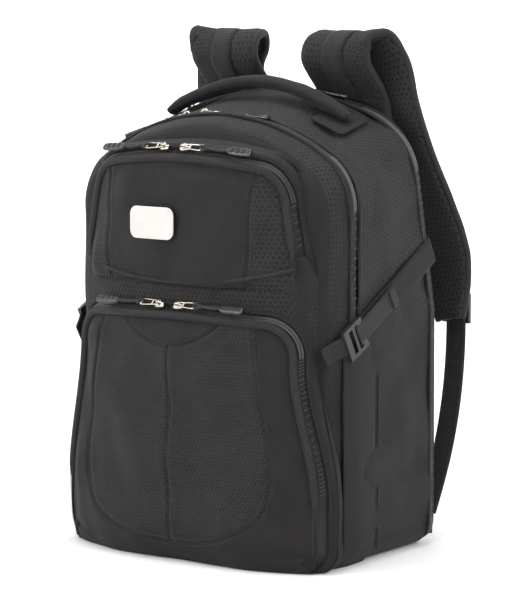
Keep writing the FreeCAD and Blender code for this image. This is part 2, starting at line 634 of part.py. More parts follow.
def three_bar_buckle(name):
    """Moulded ladder-lock in its own XZ plane: outer frame with two slots and a bar between."""
    body = new_body(name)
    sketch = new_sketch(body, name + "_frame", "XZ_Plane")
    w, hgt = val("buckle_width") / 2, val("buckle_height") / 2
    slot_w, slot_h, bar = val("slot_width") / 2, val("slot_height"), val("bar_height") / 2

    def rectangle(x, z_low, z_high, wide, low_rule, high_rule, tag):
        first = sketch.GeometryCount
        spots = [V(-x, z_low, 0), V(x, z_low, 0), V(x, z_high, 0), V(-x, z_high, 0)]
        for i in range(4):
            sketch.addGeometry(Part.LineSegment(spots[i], spots[(i + 1) % 4]), False)
        for i in range(4):
            ahead = first + (i + 1) % 4
            sketch.addConstraint(Sketcher.Constraint("Coincident", first + i, 2, ahead, 1))
        for i, kind in ((1, "Vertical"), (2, "Horizontal"), (3, "Vertical")):
            sketch.addConstraint(Sketcher.Constraint(kind, first + i))
        sketch.addConstraint(Sketcher.Constraint("Symmetric", first, 1, first, 2, -2))
        dimension(sketch, tag + "_wide", Sketcher.Constraint("DistanceX", first, 1, first, 2, 2 * x), wide)
        dimension(sketch, tag + "_low", Sketcher.Constraint("DistanceY", -1, 1, first, 1, z_low), low_rule)
        dimension(sketch, tag + "_high", Sketcher.Constraint("DistanceY", -1, 1, first + 2, 1, z_high),
                  high_rule)

    rectangle(w, -hgt, hgt, "buckle_width", "-buckle_height/2", "buckle_height/2", "frame")
    rectangle(slot_w, bar, bar + slot_h, "slot_width", "bar_height/2", "bar_height/2+slot_height", "upper")
    rectangle(slot_w, -bar - slot_h, -bar, "slot_width", "-bar_height/2-slot_height", "-bar_height/2",
              "lower")
    pad = body.newObject("PartDesign::Pad", name + "_pad")
    pad.Profile = sketch
    pad.Midplane = True
    bind(pad, "Length", "buckle_thickness")
    return body


def make_buckles():
    for side, tag in ((-1, "left"), (1, "right")):
        lock = node(three_bar_buckle(f"ladder_lock_{tag}"))
        x, y, z = LOCK_SPOT
        place(lock, (side * x, y, z))
        buckle = node(three_bar_buckle(f"compression_buckle_{tag}"))
        x, y, z = BUCKLE_SPOT
        upright = FreeCAD.Rotation(V(0, 0, 1), side * 90)
        tilt = FreeCAD.Rotation(V(1, 0, 0), -62)
        place(buckle, (side * x, y, z), tilt.multiply(upright))


# ---------------------------------------------------------------- zip sliders and pulls

def slider(name):
    """Cast slider: flat body on the zip with a half-ring bridge for the pull."""
    body = new_body(name)
    plan = new_sketch(body, name + "_plan", "XY_Plane")
    w, d = val("slider_length") / 2, val("slider_width") / 2
    spots = [V(-w, -d, 0), V(w, -d, 0), V(w, d, 0), V(-w, d, 0)]
    for i in range(4):
        plan.addGeometry(Part.LineSegment(spots[i], spots[(i + 1) % 4]), False)
    for i in range(4):
        plan.addConstraint(Sketcher.Constraint("Coincident", i, 2, (i + 1) % 4, 1))
        plan.addConstraint(Sketcher.Constraint("Horizontal" if i % 2 == 0 else "Vertical", i))
    plan.addConstraint(Sketcher.Constraint("Symmetric", 0, 1, 1, 2, -1, 1))
    dimension(plan, "long", Sketcher.Constraint("DistanceX", 0, 1, 0, 2, 2 * w), "slider_length")
    dimension(plan, "wide", Sketcher.Constraint("DistanceY", 1, 1, 1, 2, 2 * d), "slider_width")
    base = body.newObject("PartDesign::Pad", name + "_base")
    base.Profile = plan
    bind(base, "Length", "slider_height")
    arch = new_sketch(body, name + "_bridge_profile", "XZ_Plane")
    outer, inner, z = val("bridge_radius"), val("bridge_hole"), val("slider_height")
    up = V(0, 0, 1)
    arch.addGeometry([
        Part.ArcOfCircle(Part.Circle(V(0, z, 0), up, outer), 0, math.pi),
        Part.LineSegment(V(-outer, z, 0), V(-inner, z, 0)),
        Part.ArcOfCircle(Part.Circle(V(0, z, 0), up, inner), 0, math.pi),
        Part.LineSegment(V(inner, z, 0), V(outer, z, 0)),
    ], False)
    for first, first_end, second, second_end in ((0, 2, 1, 1), (1, 2, 2, 2), (2, 1, 3, 1), (3, 2, 0, 1)):
        arch.addConstraint(Sketcher.Constraint("Coincident", first, first_end, second, second_end))
    arch.addConstraint(Sketcher.Constraint("Coincident", 0, 3, 2, 3))
    arch.addConstraint(Sketcher.Constraint("PointOnObject", 0, 3, -2))
    arch.addConstraint(Sketcher.Constraint("Horizontal", 1))
    arch.addConstraint(Sketcher.Constraint("Horizontal", 3))
    dimension(arch, "outer", Sketcher.Constraint("Radius", 0, outer), "bridge_radius")
    dimension(arch, "inner", Sketcher.Constraint("Radius", 2, inner), "bridge_hole")
    dimension(arch, "seat", Sketcher.Constraint("DistanceY", -1, 1, 0, 3, z), "slider_height")
    bridge = body.newObject("PartDesign::Pad", name + "_bridge")
    bridge.Profile = arch
    bridge.Midplane = True
    bind(bridge, "Length", "bridge_thickness")
    return body


def pull(name):
    """Pull at its pin: metal pin and two prongs, then a cord and a moulded tab, along +X."""
    pin = doc.addObject("Part::Cylinder", name + "_pin")
    bind(pin, "Radius", "pin_radius")
    bind(pin, "Height", "pin_length")
    pin.Placement.Rotation = FreeCAD.Rotation(V(1, 0, 0), -90)
    bind(pin, "Placement.Base.y", "-pin_length/2")
    prongs = []
    for tag, rule in (("near", "-pin_length/2"), ("far", "pin_length/2-prong_width")):
        prongs.append(box(f"{name}_prong_{tag}", ("0", rule, "-prong_height/2"),
                          ("link_length", f"{rule}+prong_width", "prong_height/2")))
    bridge = box(name + "_link_end", ("link_length-2", "-pin_length/2", "-prong_height/2"),
                 ("link_length", "pin_length/2", "prong_height/2"))
    cord = doc.addObject("Part::Cylinder", name + "_cord")
    bind(cord, "Radius", "cord_radius")
    bind(cord, "Height", "cord_length")
    cord.Placement.Rotation = FreeCAD.Rotation(V(0, 1, 0), 90)
    bind(cord, "Placement.Base.x", "link_length-1")
    tab = box(name + "_tab", ("link_length+cord_length-4", "-tab_wide/2", "-tab_thick/2"),
              ("link_length+cord_length-4+tab_long", "tab_wide/2", "tab_thick/2"))
    fused = doc.addObject("Part::MultiFuse", name)
    fused.Shapes = [pin, *prongs, bridge, cord, tab]
    return fused


def track(apex, plan_radius, crown_radius):
    """Centre and axis of the circle that a crowned, bulging zip follows near its middle."""
    toward_back = 1 / plan_radius if plan_radius else 0.0
    downward = 1 / crown_radius
    bend = math.hypot(toward_back, downward)
    inward = V(0, toward_back / bend, -downward / bend)
    centre = V(*apex) + inward / bend
    return centre, V(0, downward / bend, toward_back / bend)


def pocket_bulge(pocket):
    sag = val(pocket + "_side_y") - val(pocket + "_front_y")
    return (val(pocket + "_half_width") ** 2 + sag ** 2) / (2 * sag)


def zip_tracks():
    """Each zip's track and where its two sliders are parked, as distances along it."""
    rim = val("flap_rim+2.2")
    lift = 0.5
    lower = track((0, val("lower_front_y") + rim, val("lower_top") + lift),
                  pocket_bulge("lower"), val("lower_crown"))
    upper = track((0, val("upper_front_y") + rim, val("upper_top") + lift),
                  pocket_bulge("upper"), val("upper_crown"))
    main = track((0, -10.4, val("main_top") + lift), None, val("main_crown"))
    rear = track((0, 89.5, val("back_top") + lift), None, val("rear_crown"))
    return {
        "lower": (lower, (0, val("lower_front_y") + rim, val("lower_top") + lift), -15, 9),
        "upper": (upper, (0, val("upper_front_y") + rim, val("upper_top") + lift), -16, 10),
        "main": (main, (0, -10.4, val("main_top") + lift), -48, -24),
        "rear": (rear, (0, 89.5, val("back_top") + lift), -21, 3),
    }


def make_sliders():
    for zip_name, ((centre, axis), apex, left_at, right_at) in zip_tracks().items():
        reach = (V(*apex) - centre).Length
        lean = val("pocket_slider_lean") if zip_name in ("lower", "upper") else 0
        facing_front = FreeCAD.Rotation(V(1, 0, 0), lean)
        rise = val("pocket_slider_rise") if lean else 0
        for tag, along, facing in (("left", left_at, 180), ("right", right_at, 0)):
            turn = FreeCAD.Rotation(axis, math.degrees(along / reach)).multiply(facing_front)
            on_track = FreeCAD.Rotation(axis, math.degrees(along / reach)).multVec(V(*apex) - centre)
            spot = centre + on_track + turn.multVec(V(0, 0, rise))
            part = node(slider(f"{zip_name}_slider_{tag}"))
            part.Placement = FreeCAD.Placement(spot, turn)
            tip = node(pull(f"{zip_name}_pull_{tag}"))
            flip = turn.multiply(FreeCAD.Rotation(V(0, 0, 1), facing))
            pin_spot = spot + turn.multVec(V(0, 0, val("pin_height")))
            tip.Placement = FreeCAD.Placement(pin_spot, flip)


# ---------------------------------------------------------------- build, check and write

make_main_shell()
make_divider()
make_main_zip()
make_back_panel()
make_rear_zip()
make_back_pads()
make_strap_tabs()
make_front_shell()
make_pocket("lower")
make_pocket("upper")
make_shoulder_straps()
make_handle()
make_rivets()
make_compression_straps()
make_buckles()
make_sliders()
doc.recompute()

for item in doc.Objects:
    if "Invalid" in item.State or "Error" in item.State:
        raise RuntimeError(f"{item.Name} failed: {item.State}")
for item in nodes:
    if item.Shape.isNull() or not item.Shape.isValid() or item.Shape.Volume < 1:
        raise RuntimeError(f"{item.Name} has no valid solid")

os.makedirs("parts", exist_ok=True)
for item in nodes:
    item.Shape.exportStep(os.path.join("parts", item.Label + ".step"))
    limits = item.Shape.BoundBox
    print(f"{item.Label:28s} {len(item.Shape.Solids)} solid(s) {item.Shape.Volume / 1000:9.2f} cm3 "
          f"x {limits.XMin:7.1f} {limits.XMax:7.1f}  y {limits.YMin:7.1f} {limits.YMax:7.1f} "
          f"z {limits.ZMin:7.1f} {limits.ZMax:7.1f}")
print(len(nodes), "nodes")
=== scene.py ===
import json
import math
import bpy
import numpy as np
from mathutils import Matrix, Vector


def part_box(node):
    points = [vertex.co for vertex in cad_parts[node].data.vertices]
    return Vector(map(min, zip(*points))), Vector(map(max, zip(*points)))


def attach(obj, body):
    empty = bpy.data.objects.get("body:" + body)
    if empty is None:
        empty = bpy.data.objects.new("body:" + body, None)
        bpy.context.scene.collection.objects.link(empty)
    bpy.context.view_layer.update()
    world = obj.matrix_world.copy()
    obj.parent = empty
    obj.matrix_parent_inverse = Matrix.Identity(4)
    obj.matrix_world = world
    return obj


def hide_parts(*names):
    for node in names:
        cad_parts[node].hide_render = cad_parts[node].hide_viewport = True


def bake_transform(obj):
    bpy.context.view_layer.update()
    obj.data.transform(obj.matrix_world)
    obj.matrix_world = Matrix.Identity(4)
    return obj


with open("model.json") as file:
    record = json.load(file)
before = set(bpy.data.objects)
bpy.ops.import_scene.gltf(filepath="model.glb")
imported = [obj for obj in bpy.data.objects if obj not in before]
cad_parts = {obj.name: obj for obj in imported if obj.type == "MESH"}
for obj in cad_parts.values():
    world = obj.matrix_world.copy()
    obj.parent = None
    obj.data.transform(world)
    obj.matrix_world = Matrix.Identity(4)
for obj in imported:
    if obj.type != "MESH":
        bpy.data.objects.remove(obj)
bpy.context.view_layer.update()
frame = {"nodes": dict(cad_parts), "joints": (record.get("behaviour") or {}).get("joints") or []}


# ---------------------------------------------------------------- materials

def rgb(code):
    """Linear colour from an sRGB hex code."""
    out = []
    for i in (0, 2, 4):
        c = int(code[i:i + 2], 16) / 255
        out.append(c / 12.92 if c <= 0.04045 else ((c + 0.055) / 1.055) ** 2.4)
    return tuple(out) + (1.0,)


class Nodes:
    """Small helper around one material's node tree."""

    def __init__(self, name, rough, metal=0.0, sheen=0.0, coat=0.0, spec=0.2):
        self.mat = bpy.data.materials.new(name)
        self.mat.use_nodes = True
        self.tree = self.mat.node_tree
        self.bsdf = self.tree.nodes["Principled BSDF"]
        self.set("Roughness", rough)
        self.set("Metallic", metal)
        if not metal:
            self.set("Specular IOR Level", spec)
        if sheen:
            self.set("Sheen Weight", sheen)
            self.set("Sheen Roughness", 0.55)
            self.set("Sheen Tint", (0.8, 0.8, 0.85, 1))
        if coat:
            self.set("Coat Weight", coat)
            self.set("Coat Roughness", 0.25)

    def set(self, key, value):
        self.bsdf.inputs[key].default_value = value

    def new(self, kind, **props):
        node = self.tree.nodes.new(kind)
        for key, value in props.items():
            setattr(node, key, value)
        return node

    def plug(self, socket, value):
        if isinstance(value, (int, float, tuple, list)):
            socket.default_value = value
        else:
            self.tree.links.new(value, socket)

    def math(self, op, a, b=0.0, c=0.0, clamp=False):
        node = self.new("ShaderNodeMath", operation=op, use_clamp=clamp)
        for socket, value in zip(node.inputs, (a, b, c)):
            self.plug(socket, value)
        return node.outputs[0]

    def vmath(self, op, a, b):
        node = self.new("ShaderNodeVectorMath", operation=op)
        self.plug(node.inputs[0], a)
        self.plug(node.inputs[1], b)
        return node

    def attribute(self, name):
        node = self.new("ShaderNodeAttribute", attribute_name=name)
        return node

    def step(self, value, low, high):
        node = self.new("ShaderNodeMapRange", interpolation_type="SMOOTHSTEP")
        for key, v in (("Value", value), ("From Min", low), ("From Max", high)):
            self.plug(node.inputs[key], v)
        return node.outputs["Result"]

    def mix(self, factor, a, b):
        node = self.new("ShaderNodeMix", data_type="RGBA")
        self.plug(node.inputs["Factor"], factor)
        self.plug(node.inputs["A"], a)
        self.plug(node.inputs["B"], b)
        return node.outputs["Result"]

    def noise(self, vector, scale, detail=3.0):
        node = self.new("ShaderNodeTexNoise")
        node.inputs["Scale"].default_value = scale
        node.inputs["Detail"].default_value = detail
        if vector is not None:
            self.plug(node.inputs["Vector"], vector)
        return node.outputs["Fac"]

    def bump(self, height, distance, strength=1.0, under=None):
        node = self.new("ShaderNodeBump")
        node.inputs["Distance"].default_value = distance
        node.inputs["Strength"].default_value = strength
        self.plug(node.inputs["Height"], height)
        if under is not None:
            self.plug(node.inputs["Normal"], under)
        return node.outputs["Normal"]

    def colour(self, value):
        self.plug(self.bsdf.inputs["Base Color"], value)

    def normal(self, value):
        self.plug(self.bsdf.inputs["Normal"], value)


def cells(n, place, pitch):
    """Sum of three waves whose peaks sit on a hexagonal grid with pointed cells."""
    k = 4 * math.pi / (math.sqrt(3) * pitch)
    total = None
    for turn in (30, 90, 150):
        along = (k * math.cos(math.radians(turn)), k * math.sin(math.radians(turn)), 0)
        phase = n.vmath("DOT_PRODUCT", place, along).outputs["Value"]
        wave = n.math("COSINE", phase)
        total = wave if total is None else n.math("ADD", total, wave)
    return total


def weave(n, place, fine=1500.0):
    """Fine crosswise rib of the plain cloth with a little unevenness."""
    split = n.new("ShaderNodeSeparateXYZ")
    n.plug(split.inputs[0], place)
    across = n.math("MULTIPLY", split.outputs["X"], 700.0)
    up = n.math("MULTIPLY", split.outputs["Y"], 2 * math.pi * 700)
    tilt = n.math("ADD", up, across)
    rib = n.math("SINE", tilt)
    grain = n.noise(place, fine, 2.0)
    return n.math("ADD", n.math("MULTIPLY", rib, 0.5), grain)


def cloth_material(name, base, light, honeycomb=0.0, rough=0.78):
    n = Nodes(name, rough, sheen=0.03)
    place = n.attribute("cloth").outputs["Vector"]
    height = weave(n, place)
    shade = n.step(n.noise(place, 60.0, 4.0), 0.25, 0.75)
    plain = n.mix(n.math("MULTIPLY", shade, 0.22), base, light)
    under = n.bump(height, 0.00022, 0.6)
    if honeycomb:
        grid = cells(n, place, honeycomb)
        line = n.math("SUBTRACT", 1.0, n.step(grid, -1.05, -0.62))
        mask = n.attribute("hex").outputs["Fac"]
        line = n.math("MULTIPLY", line, mask)
        n.colour(n.mix(n.math("MULTIPLY", line, 0.65), plain, light))
        puff = n.math("MULTIPLY", n.step(grid, -1.3, 1.2), mask)
        n.normal(n.bump(puff, 0.0006, 0.8, under))
    else:
        n.colour(plain)
        n.normal(under)
    return n.mat


def mesh_fabric(name, base, hole_shade, pitch=0.0060):
    """Spacer mesh: rows of small holes whose darker colour is painted shade."""
    n = Nodes(name, 0.85, sheen=0.05)
    place = n.attribute("cloth").outputs["Vector"]
    holes = n.step(cells(n, place, pitch), 0.6, 1.7)
    # painted shade: the holes take the second, darker colour and the raised mesh the first
    n.colour(n.mix(holes, base, hole_shade))
    raised = n.math("SUBTRACT", 1.0, holes)
    n.normal(n.bump(raised, 0.0009, 0.9, n.bump(weave(n, place), 0.0002, 0.5)))
    return n.mat


def webbing_material(name, base, light, pitch=0.0021):
    """Woven strap with ribs across it; its colour follows the rib height, darker in the grooves as painted
    shade and lighter on the rib tops as painted light.
    """
    n = Nodes(name, 0.66, sheen=0.03)
    place = n.attribute("cloth").outputs["Vector"]
    split = n.new("ShaderNodeSeparateXYZ")
    n.plug(split.inputs[0], place)
    row = n.math("SINE", n.math("MULTIPLY", split.outputs["Y"], 2 * math.pi / pitch))
    col = n.math("SINE", n.math("MULTIPLY", split.outputs["X"], 2 * math.pi / 0.0014))
    height = n.math("ADD", n.math("MULTIPLY", row, 0.8), n.math("MULTIPLY", col, 0.3))
    # painted shade and light: grooves take the first colour and rib tops the second
    n.colour(n.mix(n.step(height, -1.0, 1.1), base, light))
    n.normal(n.bump(height, 0.00045, 0.9))
    return n.mat


def plain_material(name, base, rough, metal=0.0, coat=0.0, grain=0.0, scale=900.0):
    n = Nodes(name, rough, metal=metal, coat=coat, spec=0.4)
    n.set("Base Color", base)
    if grain:
        geometry = n.new("ShaderNodeTexCoord")
        n.normal(n.bump(n.noise(geometry.outputs["Object"], scale), grain, 0.5))
    return n.mat


BLACK, SOFT, PALE = rgb("141213"), rgb("1f1d1e"), rgb("2b292a")
M = {
    "plain": cloth_material("plain_fabric", BLACK, SOFT),
    "hex": cloth_material("honeycomb_fabric", BLACK, PALE, honeycomb=0.0054),
    "hexfine": cloth_material("fine_honeycomb_fabric", BLACK, PALE, honeycomb=0.0042),
    # air_mesh: its second, darker colour is painted shade inside the holes
    "mesh": mesh_fabric("air_mesh", rgb("242223"), rgb("080708")),
    "bind": cloth_material("binding_tape", rgb("1c1a1b"), rgb("2b2829"), rough=0.7),
    # webbing: the first colour is painted shade in the grooves, the second painted light on the rib tops
    "web": webbing_material("webbing", rgb("151314"), rgb("2a2829")),
    "lining": cloth_material("lining", rgb("58585b"), rgb("707074")),
    "coil": plain_material("zip_coil", rgb("3b3d3b"), 0.38),
    # zip_tape: the first colour is painted shade in the grooves, the second painted light on the rib tops
    "tape": webbing_material("zip_tape", rgb("1f1d1e"), rgb("353233"), 0.0012),
    "plastic": plain_material("buckle_plastic", rgb("1f1e20"), 0.33, grain=0.00005),
    "rubber": plain_material("pull_rubber", rgb("232226"), 0.22, coat=0.4, grain=0.00003),
    "metal": plain_material("slider_metal", rgb("b9b2a6"), 0.24, metal=1.0),
    "cord": plain_material("braided_cord", rgb("18171a"), 0.7, grain=0.0003, scale=1400.0),
    "thread": plain_material("sewing_thread", rgb("2b292a"), 0.7),
    "patch": cloth_material("pale_patch", rgb("b8b6b2"), rgb("cac8c4"), rough=0.6),
}


# ---------------------------------------------------------------- mesh tools

def smooth(t):
    t = np.clip(t, 0, 1)
    return t * t * (3 - 2 * t)


def unit(v):
    return v / np.maximum(np.linalg.norm(v, axis=-1, keepdims=True), 1e-12)


def mesh_object(name, verts, faces, material, cloth=None, mask=None, shade=True):
    mesh = bpy.data.meshes.new(name)
    mesh.from_pydata(np.asarray(verts, float).tolist(), [], [tuple(map(int, f)) for f in faces])
    if cloth is not None:
        layer = mesh.attributes.new("cloth", "FLOAT_VECTOR", "POINT")
        layer.data.foreach_set("vector", np.asarray(cloth, np.float32).ravel())
    if mask is not None:
        layer = mesh.attributes.new("hex", "FLOAT", "POINT")
        layer.data.foreach_set("value", np.asarray(mask, np.float32).ravel())
    mesh.polygons.foreach_set("use_smooth", [shade] * len(mesh.polygons))
    mesh.materials.append(material)
    mesh.validate()
    mesh.update()
    obj = bpy.data.objects.new(name, mesh)
    bpy.context.collection.objects.link(obj)
    return obj


def grid_normals(P, closed=False):
    if closed:
        du = np.roll(P, -1, 0) - np.roll(P, 1, 0)
    else:
        du = np.gradient(P, axis=0)
    dv = np.gradient(P, axis=1)
    return unit(np.cross(du, dv))


def surface_run(P):
    """Distances along the rows and columns of a grid, as cloth coordinates."""
    du = np.linalg.norm(np.diff(P, axis=0), axis=2)
    dv = np.linalg.norm(np.diff(P, axis=1), axis=2)
    u = np.vstack([np.zeros((1, P.shape[1])), np.cumsum(du, 0)])
    v = np.hstack([np.zeros((P.shape[0], 1)), np.cumsum(dv, 1)])
    u = u - u[len(u) // 2]
    return np.stack([u, v, np.zeros_like(u)], -1)


def sheet_grid(name, P, material, thick=0.0012, closed=False, cloth=None, mask=None, out=None):
    """Cloth patch with real thickness from an (n, m, 3) grid. `out` points to its outer side."""
    P = np.asarray(P, float)
    N = grid_normals(P, closed)
    if out is not None:
        side = np.sum(N * (P - np.asarray(out)[None, None, :])) if np.ndim(out) == 1 else 0
        if side < 0:
            P = P[::-1]
            N = grid_normals(P, closed)
            if cloth is not None:
                cloth = cloth[::-1]
            if mask is not None:
                mask = mask[::-1]
    n, m = P.shape[:2]
    if cloth is None:
        cloth = surface_run(P)
    if mask is None:
        mask = np.ones((n, m))
    verts = np.vstack([P.reshape(-1, 3), (P - N * thick).reshape(-1, 3)])
    rows = n if closed else n - 1
    i, j = np.meshgrid(np.arange(rows), np.arange(m - 1), indexing="ij")
    a, b = i * m + j, ((i + 1) % n) * m + j
    outer = np.stack([a, b, b + 1, a + 1], -1).reshape(-1, 4)
    inner = outer[:, ::-1] + n * m
    border = []
    for j_edge, turn in ((0, 1), (m - 1, -1)):
        e = np.arange(rows) * m + j_edge
        f = ((np.arange(rows) + 1) % n) * m + j_edge
        quad = np.stack([f, e, e + n * m, f + n * m], -1)[:, ::turn]
        border.append(quad)
    if not closed:
        for i_edge, turn in ((0, -1), (n - 1, 1)):
            e = i_edge * m + np.arange(m - 1)
            quad = np.stack([e + 1, e, e + n * m, e + 1 + n * m], -1)[:, ::turn]
            border.append(quad)
    faces = np.vstack([outer, inner] + border)
    cloth = np.asarray(cloth).reshape(-1, 3)
    mask = np.asarray(mask).reshape(-1)
    return mesh_object(name, verts, faces, material, np.vstack([cloth, cloth]), np.hstack([mask, mask]))


def wrinkle(P, amount, length, seed, count=14):
    """Small smooth unevenness: a sum of waves in random directions."""
    rng = np.random.default_rng(seed)
    total = np.zeros(P.shape[:-1])
    for _ in range(count):
        d = rng.normal(size=3)
        d /= np.linalg.norm(d)
        size = length * rng.uniform(0.6, 1.8)
        total += np.sin(P @ d * 2 * math.pi / size + rng.uniform(0, 6.28)) * rng.uniform(0.4, 1.0)
    return amount * total / math.sqrt(count)


def resample(path, count):
    path = np.asarray(path, float)
    run = np.hstack([0, np.cumsum(np.linalg.norm(np.diff(path, axis=0), axis=1))])
    at = np.linspace(0, run[-1], count)
    return np.stack([np.interp(at, run, path[:, k]) for k in range(path.shape[1])], 1)


def spline(points, count):
    """Smooth curve through points, evenly spaced."""
    p = np.asarray(points, float)
    t = np.hstack([0, np.cumsum(np.linalg.norm(np.diff(p, axis=0), axis=1))])
    h = np.diff(t)
    slope = np.diff(p, axis=0) / h[:, None]
    m = np.zeros_like(p)
    m[1:-1] = (slope[:-1] * h[1:, None] + slope[1:] * h[:-1, None]) / (h[1:] + h[:-1])[:, None]
    m[0], m[-1] = 1.5 * slope[0] - 0.5 * m[1], 1.5 * slope[-1] - 0.5 * m[-2]
    at = np.linspace(0, t[-1], max(count * 4, 50))
    k = np.clip(np.searchsorted(t, at, "right") - 1, 0, len(h) - 1)
    s = ((at - t[k]) / h[k])[:, None]
    hk = h[k][:, None]
    out = ((2 * s**3 - 3 * s**2 + 1) * p[k] + (s**3 - 2 * s**2 + s) * hk * m[k]
           + (-2 * s**3 + 3 * s**2) * p[k + 1] + (s**3 - s**2) * hk * m[k + 1])
    return resample(out, count)


def frames(path, up):
    """Tangent, side and lift vectors along a path; `up` is one direction or one per point."""
    path = np.asarray(path, float)
    t = unit(np.gradient(path, axis=0))
    up = np.broadcast_to(np.asarray(up, float), path.shape)
    side = unit(np.cross(t, up))
    lift = unit(np.cross(side, t))
    return t, side, lift


def tube(name, path, radius, material, up=(0, 0, 1), sides=10, squash=1.0, caps=True):
    """Round or oval rod along a path; `radius` may vary along it."""
    path = np.asarray(path, float)
    n = len(path)
    radius = np.broadcast_to(np.asarray(radius, float), (n,)).copy()
    t, side, lift = frames(path, up)
    ang = np.linspace(0, 2 * math.pi, sides, endpoint=False)
    ring = (side[:, None] * np.cos(ang)[None, :, None]
            + lift[:, None] * np.sin(ang)[None, :, None] * squash)
    P = path[:, None] + ring * radius[:, None, None]
    run = np.hstack([0, np.cumsum(np.linalg.norm(np.diff(path, axis=0), axis=1))])
    cloth = np.stack(np.broadcast_arrays(ang[None] * radius[:, None], run[:, None], 0.0), -1)
    verts, cl = P.reshape(-1, 3), cloth.reshape(-1, 3)
    i, j = np.meshgrid(np.arange(n - 1), np.arange(sides), indexing="ij")
    a, b = i * sides + j, i * sides + (j + 1) % sides
    faces = np.stack([a, b, b + sides, a + sides], -1).reshape(-1, 4).tolist()
    if caps:
        verts = np.vstack([verts, path[0] - t[0] * radius[0] * 0.4, path[-1] + t[-1] * radius[-1] * 0.4])
        cl = np.vstack([cl, cl[0], cl[-1]])
        k = n * sides
        for j in range(sides):
            faces.append((k, (j + 1) % sides, j))
            faces.append((k + 1, (n - 1) * sides + j, (n - 1) * sides + (j + 1) % sides))
    return mesh_object(name, verts, faces, material, cl, np.zeros(len(cl)))


def join(name, parts):
    """One mesh object out of several; they keep their materials and attributes."""
    parts = [p for p in parts if p is not None]
    bpy.ops.object.select_all(action="DESELECT")
    for p in parts:
        p.select_set(True)
    bpy.context.view_layer.objects.active = parts[0]
    if len(parts) > 1:
        bpy.ops.object.join()
    parts[0].name = name
    return parts[0]


def stitches(name, path, normal, pitch=0.0036, length=0.0026, radius=0.00032, raise_by=0.0002,
             material=None):
    """Row of short sewn threads lying on a surface."""
    path = np.asarray(path, float)
    total = np.linalg.norm(np.diff(path, axis=0), axis=1).sum()
    count = max(2, int(total / pitch))
    both = resample(np.hstack([path, np.broadcast_to(normal, path.shape)]), count)
    spots, up = both[:, :3], unit(both[:, 3:])
    t = unit(np.gradient(spots, axis=0))
    side = unit(np.cross(t, up))
    unit_rings = [(-0.5, 0.0), (-0.3, 0.85), (0.0, 1.0), (0.3, 0.85), (0.5, 0.0)]
    verts, faces, cl = [], [], []
    for c, tt, uu, ss in zip(spots, t, up, side):
        base = len(verts)
        for along, fat in unit_rings:
            for k in range(4):
                a = math.pi / 4 + k * math.pi / 2
                r = radius * fat
                p = c + tt * along * length + uu * (math.sin(a) * r * 0.8 + raise_by) + ss * math.cos(a) * r
                verts.append(p)
        for r in range(4):
            for k in range(4):
                a, b = base + r * 4 + k, base + r * 4 + (k + 1) % 4
                faces.append((a, b, b + 4, a + 4))
    cl = np.zeros((len(verts), 3))
    return mesh_object(name, verts, faces, material or M["thread"], cl, np.zeros(len(verts)))


def ribbon(name, path, width, thick, up, material, edge=0.4, sides=12, bulge=0.0):
    """Flat strap along a path with rounded edges; `width` may vary along it."""
    path = np.asarray(path, float)
    n = len(path)
    width = np.broadcast_to(np.asarray(width, float), (n,))
    thick = np.broadcast_to(np.asarray(thick, float), (n,))
    _, side, lift = frames(path, up)
    half = []
    for k in range(sides + 1):
        a = -1 + 2 * k / sides
        half.append((a, (1 - abs(a) ** (2 / edge)) ** (edge / 2) if abs(a) < 1 else 0.0))
    top = [(a, h) for a, h in half]
    low = [(a, -h) for a, h in half[::-1]][1:-1]
    section = np.array(top + low)
    m = len(section)
    P = (path[:, None] + side[:, None] * section[None, :, 0:1] * width[:, None, None] / 2
         + lift[:, None] * section[None, :, 1:2] * thick[:, None, None] / 2)
    P += lift[:, None] * (bulge * (1 - section[None, :, 0:1] ** 2))
    run = np.hstack([0, np.cumsum(np.linalg.norm(np.diff(path, axis=0), axis=1))])
    cloth = np.stack(np.broadcast_arrays(section[None, :, 0] * width[:, None] / 2, run[:, None], 0.0), -1)
    i, j = np.meshgrid(np.arange(n - 1), np.arange(m), indexing="ij")
    a, b = i * m + j, i * m + (j + 1) % m
    faces = np.stack([a, a + m, b + m, b], -1).reshape(-1, 4).tolist()
    faces.append(tuple(range(m)))
    faces.append(tuple((n - 1) * m + k for k in range(m))[::-1])
    flat = cloth.reshape(-1, 3)
    return mesh_object(name, P.reshape(-1, 3), faces, material, flat, np.ones(len(flat)))


# ---------------------------------------------------------------- outlines

def arch_half(hw, top, crown, corner, low, counts=(16, 10, 60, 16, 40), base=0.0):
    """Right half of a crowned arch, from the middle of its foot to the middle of its top."""
    pts = [np.array([x, base]) for x in np.linspace(0, hw - low, counts[0], endpoint=False)]
    for a in np.linspace(-90, 0, counts[1], endpoint=False):
        a = math.radians(a)
        pts.append(np.array([hw - low + low * math.cos(a), base + low + low * math.sin(a)]))
    zc = top - crown + math.sqrt((crown - corner) ** 2 - (hw - corner) ** 2)
    for z in np.linspace(base + low, zc, counts[2], endpoint=False):
        pts.append(np.array([hw, z]))
    lean = math.atan2(zc - (top - crown), hw - corner)
    for a in np.linspace(0, lean, counts[3], endpoint=False):
        pts.append(np.array([hw - corner + corner * math.cos(a), zc + corner * math.sin(a)]))
    for a in np.linspace(lean, math.pi / 2, counts[4]):
        pts.append(np.array([crown * math.cos(a), top - crown + crown * math.sin(a)]))
    return np.array(pts)


def arch_full(*args, **keys):
    """Whole outline, counter-clockwise from the middle of the foot seen from the front."""
    half = arch_half(*args, **keys)
    other = half[::-1][1:-1] * np.array([-1, 1])
    return np.vstack([half, other])


